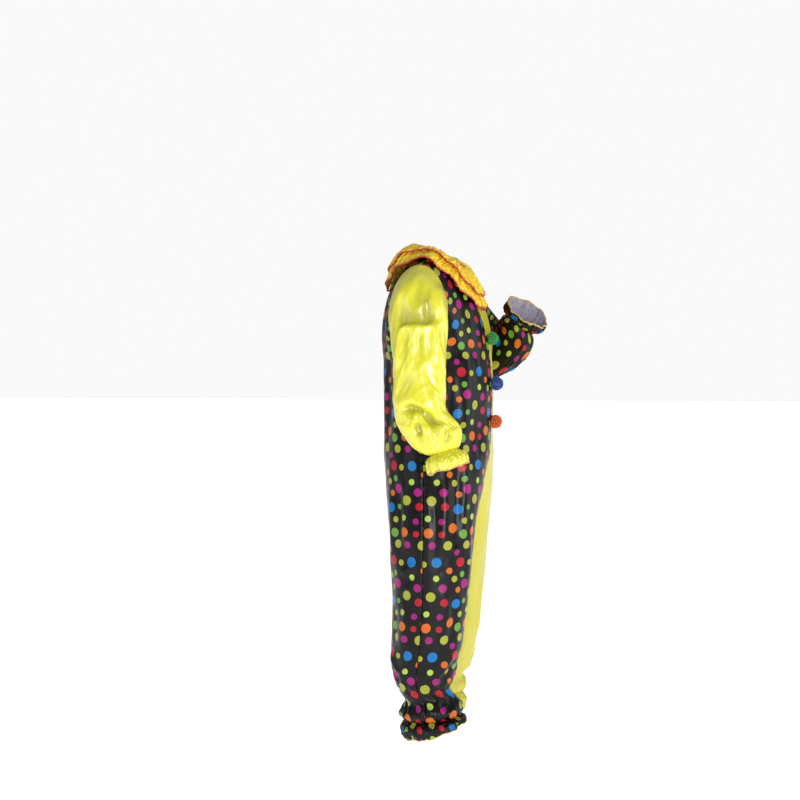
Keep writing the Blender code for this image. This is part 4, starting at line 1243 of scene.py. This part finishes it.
# The dots' repeat in millimetres, across and down the cloth, and each dot's middle and radius.
DOT_TILE = (146.0, 275.0)
Dot = namedtuple("Dot", "colour across down radius")
DOTS = [
    Dot("olive", 24, 9, 14.0), Dot("red", 63, 26, 11.5), Dot("blue", 105, 34, 14.0),
    Dot("green", 137, 29, 8.0), Dot("lime", 14, 59, 9.0), Dot("magenta", 53, 68, 9.0),
    Dot("olive", 124, 67, 9.0), Dot("orange", 16, 100, 14.0), Dot("red", 54, 104, 9.0),
    Dot("orange", 88, 87, 14.0), Dot("green", 121, 105, 13.0), Dot("magenta", 27, 136, 10.5),
    Dot("olive", 73, 136, 13.5), Dot("olive", 134, 137, 12.0), Dot("magenta", 102, 157, 9.0),
    Dot("blue", 41, 185, 14.5), Dot("red", 116, 187, 14.0), Dot("olive", 4, 190, 9.0),
    Dot("orange", 79, 209, 9.5), Dot("lime", 40, 231, 9.0), Dot("olive", 95, 234, 9.5),
    Dot("green", 124, 223, 9.0), Dot("magenta", 59, 260, 12.0), Dot("magenta", 134, 252, 14.0),
    Dot("orange", 108, 267, 9.0),
]
DOT_COLOURS = {
    "blue": (0.005, 0.215, 0.62),
    "olive": (0.46, 0.48, 0.045),
    "lime": (0.50, 0.68, 0.10),
    "orange": (0.78, 0.17, 0.014),
    "red": (0.56, 0.010, 0.028),
    "magenta": (0.42, 0.010, 0.21),
    "green": (0.17, 0.42, 0.055),
}

SHELL = ["dotted_satin", "dotted_satin_wrong_side"]
# Each body panel: side, face, cloths, creases, flat (width, length) and flat area.
PanelCut = namedtuple("PanelCut", "name side face cloths creases flat area")
PANEL_CUTS = [
    PanelCut("front_right_panel", RIGHT, FRONT, SHELL, RIGHT_FRONT_CREASES, (0.36, 1.42), 0.39),
    PanelCut("back_right_panel", RIGHT, BACK, SHELL, RIGHT_BACK_CREASES, (0.36, 1.48), 0.40),
    PanelCut("front_left_panel", LEFT, FRONT, ["yellow_satin"], LEFT_FRONT_CREASES,
             (0.36, 1.42), 0.39),
    PanelCut("back_left_panel", LEFT, BACK, ["yellow_satin"], LEFT_BACK_CREASES,
             (0.36, 1.48), 0.40),
]
SleeveCut = namedtuple("SleeveCut", "name node limb rings cloths outer inner flat area")
FrillCut = namedtuple("FrillCut", "name node limb rings cloths depth waves flat")
TierCut = namedtuple("TierCut", "name node tier full flat")


def length_setting(label, about, size, low, high):
    """A length in metres that a user can change."""
    return bpy.props.FloatProperty(name=label, description=about, default=size, min=low, max=high,
                                   precision=4, unit="LENGTH")


def colour_setting(label, about, rgb):
    """A colour that a user can change."""
    return bpy.props.FloatVectorProperty(name=label, description=about, subtype="COLOR",
                                         default=rgb, min=0, max=1)


class ClownJumpsuitSettings(bpy.types.PropertyGroup):
    """Sizes and colours of the jumpsuit."""

    cloth_thickness: length_setting("Cloth thickness", "Thickness of the satin",
                                    0.0011, 0.0003, 0.003)
    collar_thickness: length_setting("Collar thickness", "Thickness of the collar's ruffled satin",
                                     0.0009, 0.0003, 0.003)
    trim_width: length_setting("Trim width", "Width of the red trim on the collar",
                               0.0066, 0.002, 0.012)
    binding_width: length_setting("Binding width", "Width of the binding on the frills",
                                  0.0045, 0.002, 0.012)
    cuff_waves: length_setting("Wrist waves", "Depth of the waves of the wrist frills",
                               0.0050, 0.0, 0.02)
    ankle_waves: length_setting("Ankle waves", "Depth of the waves of the ankle frills",
                                0.0056, 0.0, 0.02)
    yarn_length: length_setting("Yarn length", "Length of the pompoms' cut yarn",
                                0.008, 0.002, 0.02)
    yarns: bpy.props.IntProperty(
        name="Yarns", description="Number of yarns in each pompom", default=1500, min=100,
        max=4000)
    satin_black: colour_setting("Black satin", "Ground colour of the dotted satin",
                                (0.0028, 0.0024, 0.0026))
    # The yellow half is the same yellow satin as the right sleeve: its colours, darker than the
    # sleeve's, are painted shade.
    satin_yellow: colour_setting("Yellow satin", "Colour of the yellow half", (0.60, 0.55, 0.018))
    satin_yellow_shade: colour_setting("Yellow satin, slack", "Deeper colour of the yellow half",
                                       (0.52, 0.47, 0.015))
    sleeve_yellow: colour_setting("Yellow sleeve", "Colour of the yellow sleeve",
                                  (0.76, 0.725, 0.018))
    sleeve_yellow_shade: colour_setting("Yellow sleeve, slack",
                                        "Deeper colour of the yellow sleeve", (0.70, 0.66, 0.016))
    ruffle_gold: colour_setting("Ruffle", "Colour of the ruffled collar", (0.93, 0.74, 0.014))
    # ruffle_shade is painted shade: the orange down in the collar's pleats.
    ruffle_shade: colour_setting("Ruffle, in the pleats", "Colour down in the collar's pleats",
                                 (0.84, 0.36, 0.008))
    trim_red: colour_setting("Red trim", "Colour of the collar's trim", (0.60, 0.038, 0.012))
    binding_gold: colour_setting("Gold binding", "Colour of the frills' binding",
                                 (0.66, 0.44, 0.10))
    pile_green: colour_setting("Green pompom", "Colour of the top pompom", (0.020, 0.42, 0.055))
    pile_blue: colour_setting("Blue pompom", "Colour of the middle pompom", (0.010, 0.075, 0.42))
    pile_orange: colour_setting("Orange pompom", "Colour of the bottom pompom",
                                (0.88, 0.16, 0.010))
    key_power: bpy.props.FloatProperty(
        name="Key light", description="Power of the large soft light by the camera",
        default=66.0, min=0, max=2000, unit="POWER")


def settle(piece, node, slot):
    """Fixes a finished piece to the garment, in place of its CAD node."""
    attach(piece, "root")
    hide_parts(node)
    return piece


class JUMPSUIT_OT_panels(bpy.types.Operator):
    """Make the two fronts and two backs, each with its leg"""

    bl_idname = "jumpsuit.panels"
    bl_label = "Body panels"

    def execute(self, context):
        for cut in PANEL_CUTS:
            grid, normals, flat = panel_sheet(cut.side, cut.face, cut.creases)
            piece = cloth_piece(cut.name, grid, normals, flat, [cloth(c) for c in cut.cloths])
            settle(piece, cut.name.replace("_panel", ""), cut.cloths[0])
        return {"FINISHED"}


class JUMPSUIT_OT_sleeves(bpy.types.Operator):
    """Make the right and left sleeves"""

    bl_idname = "jumpsuit.sleeves"
    bl_label = "Sleeves"

    def execute(self, context):
        cuts = [
            SleeveCut("right_sleeve", "sleeve_right", RIGHT_ARM, RIGHT_SLEEVE, ["sleeve_satin"],
                      RIGHT_SLEEVE_CREASES, RIGHT_SLEEVE_INNER_CREASES, (0.52, 0.60), 0.22),
            SleeveCut("left_sleeve", "sleeve_left", LEFT_ARM, LEFT_SLEEVE, SHELL, [], [],
                      (0.52, 0.60), 0.22),
        ]
        for seed, cut in enumerate(cuts):
            grid, normals, flat, painted_shade = sleeve_sheet(cut.limb, cut.rings, cut.outer, cut.inner,
                                                       seed)
            grid, normals = place_limb(cut.limb, grid), place_limb_direction(cut.limb, normals)
            # The last values give how far down in a fold each point lies, for the painted shade
            # there.
            piece = cloth_piece(cut.name, grid, normals, flat, [cloth(c) for c in cut.cloths],
                                loop=True, values={"painted_shade": painted_shade})
            slot = "yellow_satin" if cut.limb.side == RIGHT else "dotted_satin"
            settle(piece, cut.node, slot)
        return {"FINISHED"}


def place_limb_direction(limb, directions):
    """Directions in a limb's own frame to the frame."""
    return place_limb(limb, directions) - place_limb(limb, np.zeros(3))


def make_frill(cut, seed):
    """A frill, and the binding folded over its hem."""
    grid, normals, flat = frill_sheet(cut.rings, cut.waves, cut.depth, seed)
    grid, normals = place_limb(cut.limb, grid), place_limb_direction(cut.limb, normals)
    piece = cloth_piece(cut.name, grid, normals, flat, [cloth(c) for c in cut.cloths], loop=True)
    slot = "dotted_satin" if len(cut.cloths) > 1 else "yellow_satin"
    settle(piece, cut.node + "_frill", slot)
    band = edge_band(cut.name.replace("frill", "binding"), grid, normals, sizes().cloth_thickness,
                     sizes().binding_width, cloth("gold_binding"), True)
    settle(band, cut.node + "_binding", "gold_binding")


class JUMPSUIT_OT_wrist_frills(bpy.types.Operator):
    """Make the gathered frills at the wrists"""

    bl_idname = "jumpsuit.wrist_frills"
    bl_label = "Wrist frills"

    def execute(self, context):
        depth = sizes().cuff_waves
        make_frill(FrillCut("right_wrist_frill", "cuff_right", RIGHT_ARM, RIGHT_CUFF,
                            ["sleeve_satin"], depth, 9, (0.54, 0.052)), 0.4)
        make_frill(FrillCut("left_wrist_frill", "cuff_left", LEFT_ARM, LEFT_CUFF, SHELL, depth, 9,
                            (0.66, 0.054)), 2.2)
        return {"FINISHED"}


class JUMPSUIT_OT_ankle_frills(bpy.types.Operator):
    """Make the gathered frills at the ankles"""

    bl_idname = "jumpsuit.ankle_frills"
    bl_label = "Ankle frills"

    def execute(self, context):
        depth = sizes().ankle_waves
        make_frill(FrillCut("right_ankle_frill", "ankle_right", RIGHT_LEG, ANKLE_FRILL[RIGHT],
                            SHELL, depth, 11, (0.74, 0.053)), 1.1)
        make_frill(FrillCut("left_ankle_frill", "ankle_left", LEFT_LEG, ANKLE_FRILL[LEFT],
                            ["yellow_satin"], depth, 11, (0.75, 0.060)), 3.0)
        return {"FINISHED"}


class JUMPSUIT_OT_collar(bpy.types.Operator):
    """Make the two ruffled tiers of the collar and the red trim on their edges"""

    bl_idname = "jumpsuit.collar"
    bl_label = "Collar"

    def execute(self, context):
        cuts = [
            TierCut("lower_ruffle", "collar_lower", LOWER_TIER, True, (1.05, 0.150)),
            TierCut("upper_ruffle", "collar_upper", UPPER_TIER, False, (0.95, 0.110)),
        ]
        for seed, cut in enumerate(cuts):
            grid, normals, flat, painted_shade = collar_sheet(cut.tier, cut.full, 0.7 + 1.9 * seed)
            # The last values give how far down in its pleat each point lies, for the painted shade
            # there.
            piece = cloth_piece(cut.name, grid, normals, flat, [cloth("gold_ruffle")],
                                values={"painted_shade": painted_shade}, thickness=sizes().collar_thickness)
            settle(piece, cut.node, "gold_ruffle")
            band = edge_band(cut.name.replace("ruffle", "ruffle_trim"), grid, normals,
                             sizes().collar_thickness, sizes().trim_width, cloth("red_trim"), False)
            settle(band, cut.node + "_trim", "red_trim")
        return {"FINISHED"}


class JUMPSUIT_OT_neck_binding(bpy.types.Operator):
    """Make the red binding that stands round the neck opening"""

    bl_idname = "jumpsuit.neck_binding"
    bl_label = "Neck binding"

    def execute(self, context):
        reach = np.pi - COLLAR_SLIT
        ring = place(LEFT, neck_ring(np.linspace(-reach, reach, NECK_ROUND)))
        lean = unit(np.array([0.0, -NECK_DROP, NECK_REACH]))
        middle = ring + lean * (NECK_BINDING_FOOT + NECK_BINDING_TOP) / 2
        outward = unit(ring - ring.mean(axis=0))
        run = np.broadcast_to(lean, ring.shape)
        band = band_piece("neck_band", middle, outward, run, NECK_BINDING_TOP - NECK_BINDING_FOOT,
                          cloth("red_trim"), False)
        settle(band, "neck_binding", "red_trim")
        return {"FINISHED"}


class JUMPSUIT_OT_pompoms(bpy.types.Operator):
    """Make the three cut-yarn pompoms"""

    bl_idname = "jumpsuit.pompoms"
    bl_label = "Pompoms"

    def execute(self, context):
        for seed, spec in enumerate(POMPOMS):
            slot = spec.name.replace("pompom_", "") + "_pile"
            points, faces, shade, depth = yarn_ball(spec, sizes().yarns, sizes().yarn_length, seed)
            piece = make_piece(spec.name.replace("pompom", "yarn_ball"), points, faces, [cloth(slot)],
                               values={"shade": shade, "depth": depth}, smooth=False)
            settle(piece, spec.name, slot)
        return {"FINISHED"}


# The camera: its place, and the heading it looks along, level.
CAMERA_PLACE = (-3.0205, -0.6973, -0.355)
CAMERA_HEADING = (0.97437, 0.22495, 0.0)
LENS = 45.0
SHIFT = (-0.0475, -0.02125)
FLOOR_HALF = 60.0
WORLD_LIGHT = 0.30
FLOOR_GLOW = 0.85


# The soft square lights: place, the point each is aimed at, size, and share of the key's power.
Lamp = namedtuple("Lamp", "name place aim size share")
LAMPS = [
    Lamp("key", (-3.3, -1.7, -0.45), (0, 0, -0.45), (1.3, 1.5), 1.0),
    Lamp("fill", (-2.6, 2.4, 0.2), (0, 0, -0.6), (1.4, 2.4), 0.22),
    Lamp("front", (0.4, -3.4, 0.3), (0, 0, -0.6), (1.6, 2.4), 0.45),
    Lamp("top", (0.0, -0.4, 2.6), (0, 0, -0.4), (2.0, 2.0), 0.07),
]


def area_light(spec, power):
    """A soft light at its place, aimed at its point."""
    lamp = bpy.data.lights.new(spec.name, "AREA")
    lamp.shape = "RECTANGLE"
    lamp.size, lamp.size_y = spec.size
    lamp.energy = power
    item = bpy.data.objects.new(spec.name, lamp)
    bpy.context.scene.collection.objects.link(item)
    item.location = spec.place
    heading = Vector(spec.aim) - Vector(spec.place)
    item.rotation_euler = heading.to_track_quat("-Z", "Y").to_euler()


class JUMPSUIT_OT_stage(bpy.types.Operator):
    """Set up the floor, the soft studio light and the camera"""

    bl_idname = "jumpsuit.stage"
    bl_label = "Stage"

    def execute(self, context):
        scene = context.scene
        mesh = bpy.data.meshes.new("floor")
        corners = [(FLOOR_HALF * x, FLOOR_HALF * y, -ORIGIN_HEIGHT)
                   for x, y in ((-1, -1), (1, -1), (1, 1), (-1, 1))]
        mesh.from_pydata(corners, [], [(0, 1, 2, 3)])
        floor = bpy.data.objects.new("floor", mesh)
        scene.collection.objects.link(floor)
        paint, shader = new_material("floor_paint", Roughness=0.7)
        shader.inputs["Base Color"].default_value = (0.80, 0.80, 0.80, 1)
        shader.inputs["Emission Color"].default_value = (1.0, 1.0, 1.0, 1)
        shader.inputs["Emission Strength"].default_value = FLOOR_GLOW
        mesh.materials.append(paint)
        world = bpy.data.worlds.new("studio")
        world.use_nodes = True
        tree = world.node_tree
        soft = tree.nodes["Background"]
        soft.inputs[0].default_value = (0.96, 0.97, 1.0, 1)
        soft.inputs[1].default_value = WORLD_LIGHT
        pale = tree.nodes.new("ShaderNodeBackground")
        pale.inputs[0].default_value = (0.95, 0.95, 0.95, 1)
        seen = tree.nodes.new("ShaderNodeLightPath")
        either = tree.nodes.new("ShaderNodeMixShader")
        tree.links.new(seen.outputs["Is Camera Ray"], either.inputs[0])
        tree.links.new(soft.outputs[0], either.inputs[1])
        tree.links.new(pale.outputs[0], either.inputs[2])
        tree.links.new(either.outputs[0], tree.nodes["World Output"].inputs[0])
        scene.world = world
        for lamp in LAMPS:
            area_light(lamp, sizes().key_power * lamp.share)
        camera = bpy.data.cameras.new("camera")
        camera.lens = LENS
        camera.shift_x, camera.shift_y = SHIFT
        view = bpy.data.objects.new("camera", camera)
        scene.collection.objects.link(view)
        view.location = CAMERA_PLACE
        view.rotation_euler = Vector(CAMERA_HEADING).to_track_quat("-Z", "Y").to_euler()
        scene.camera = view
        scene.view_settings.view_transform = "Standard"
        return {"FINISHED"}


class JUMPSUIT_PT_panel(bpy.types.Panel):
    """The jumpsuit's pieces and settings"""

    bl_idname = "JUMPSUIT_PT_panel"
    bl_label = "Clown jumpsuit"
    bl_space_type = "VIEW_3D"
    bl_region_type = "UI"
    bl_category = "Jumpsuit"

    def draw(self, context):
        for operator in OPERATORS:
            self.layout.operator(operator.bl_idname)
        for name in ClownJumpsuitSettings.__annotations__:
            self.layout.prop(context.scene.clown_jumpsuit, name)


OPERATORS = (
    JUMPSUIT_OT_stage,
    JUMPSUIT_OT_panels,
    JUMPSUIT_OT_sleeves,
    JUMPSUIT_OT_wrist_frills,
    JUMPSUIT_OT_ankle_frills,
    JUMPSUIT_OT_collar,
    JUMPSUIT_OT_neck_binding,
    JUMPSUIT_OT_pompoms,
)
CLASSES = (ClownJumpsuitSettings, *OPERATORS, JUMPSUIT_PT_panel)


def register():
    for item in CLASSES:
        bpy.utils.register_class(item)
    bpy.types.Scene.clown_jumpsuit = bpy.props.PointerProperty(type=ClownJumpsuitSettings)


def unregister():
    del bpy.types.Scene.clown_jumpsuit
    for item in reversed(CLASSES):
        bpy.utils.unregister_class(item)


def main():
    register()
    for operator in OPERATORS:
        group, name = operator.bl_idname.split(".")
        getattr(getattr(bpy.ops, group), name)()


if __name__ == "__main__":
    main()
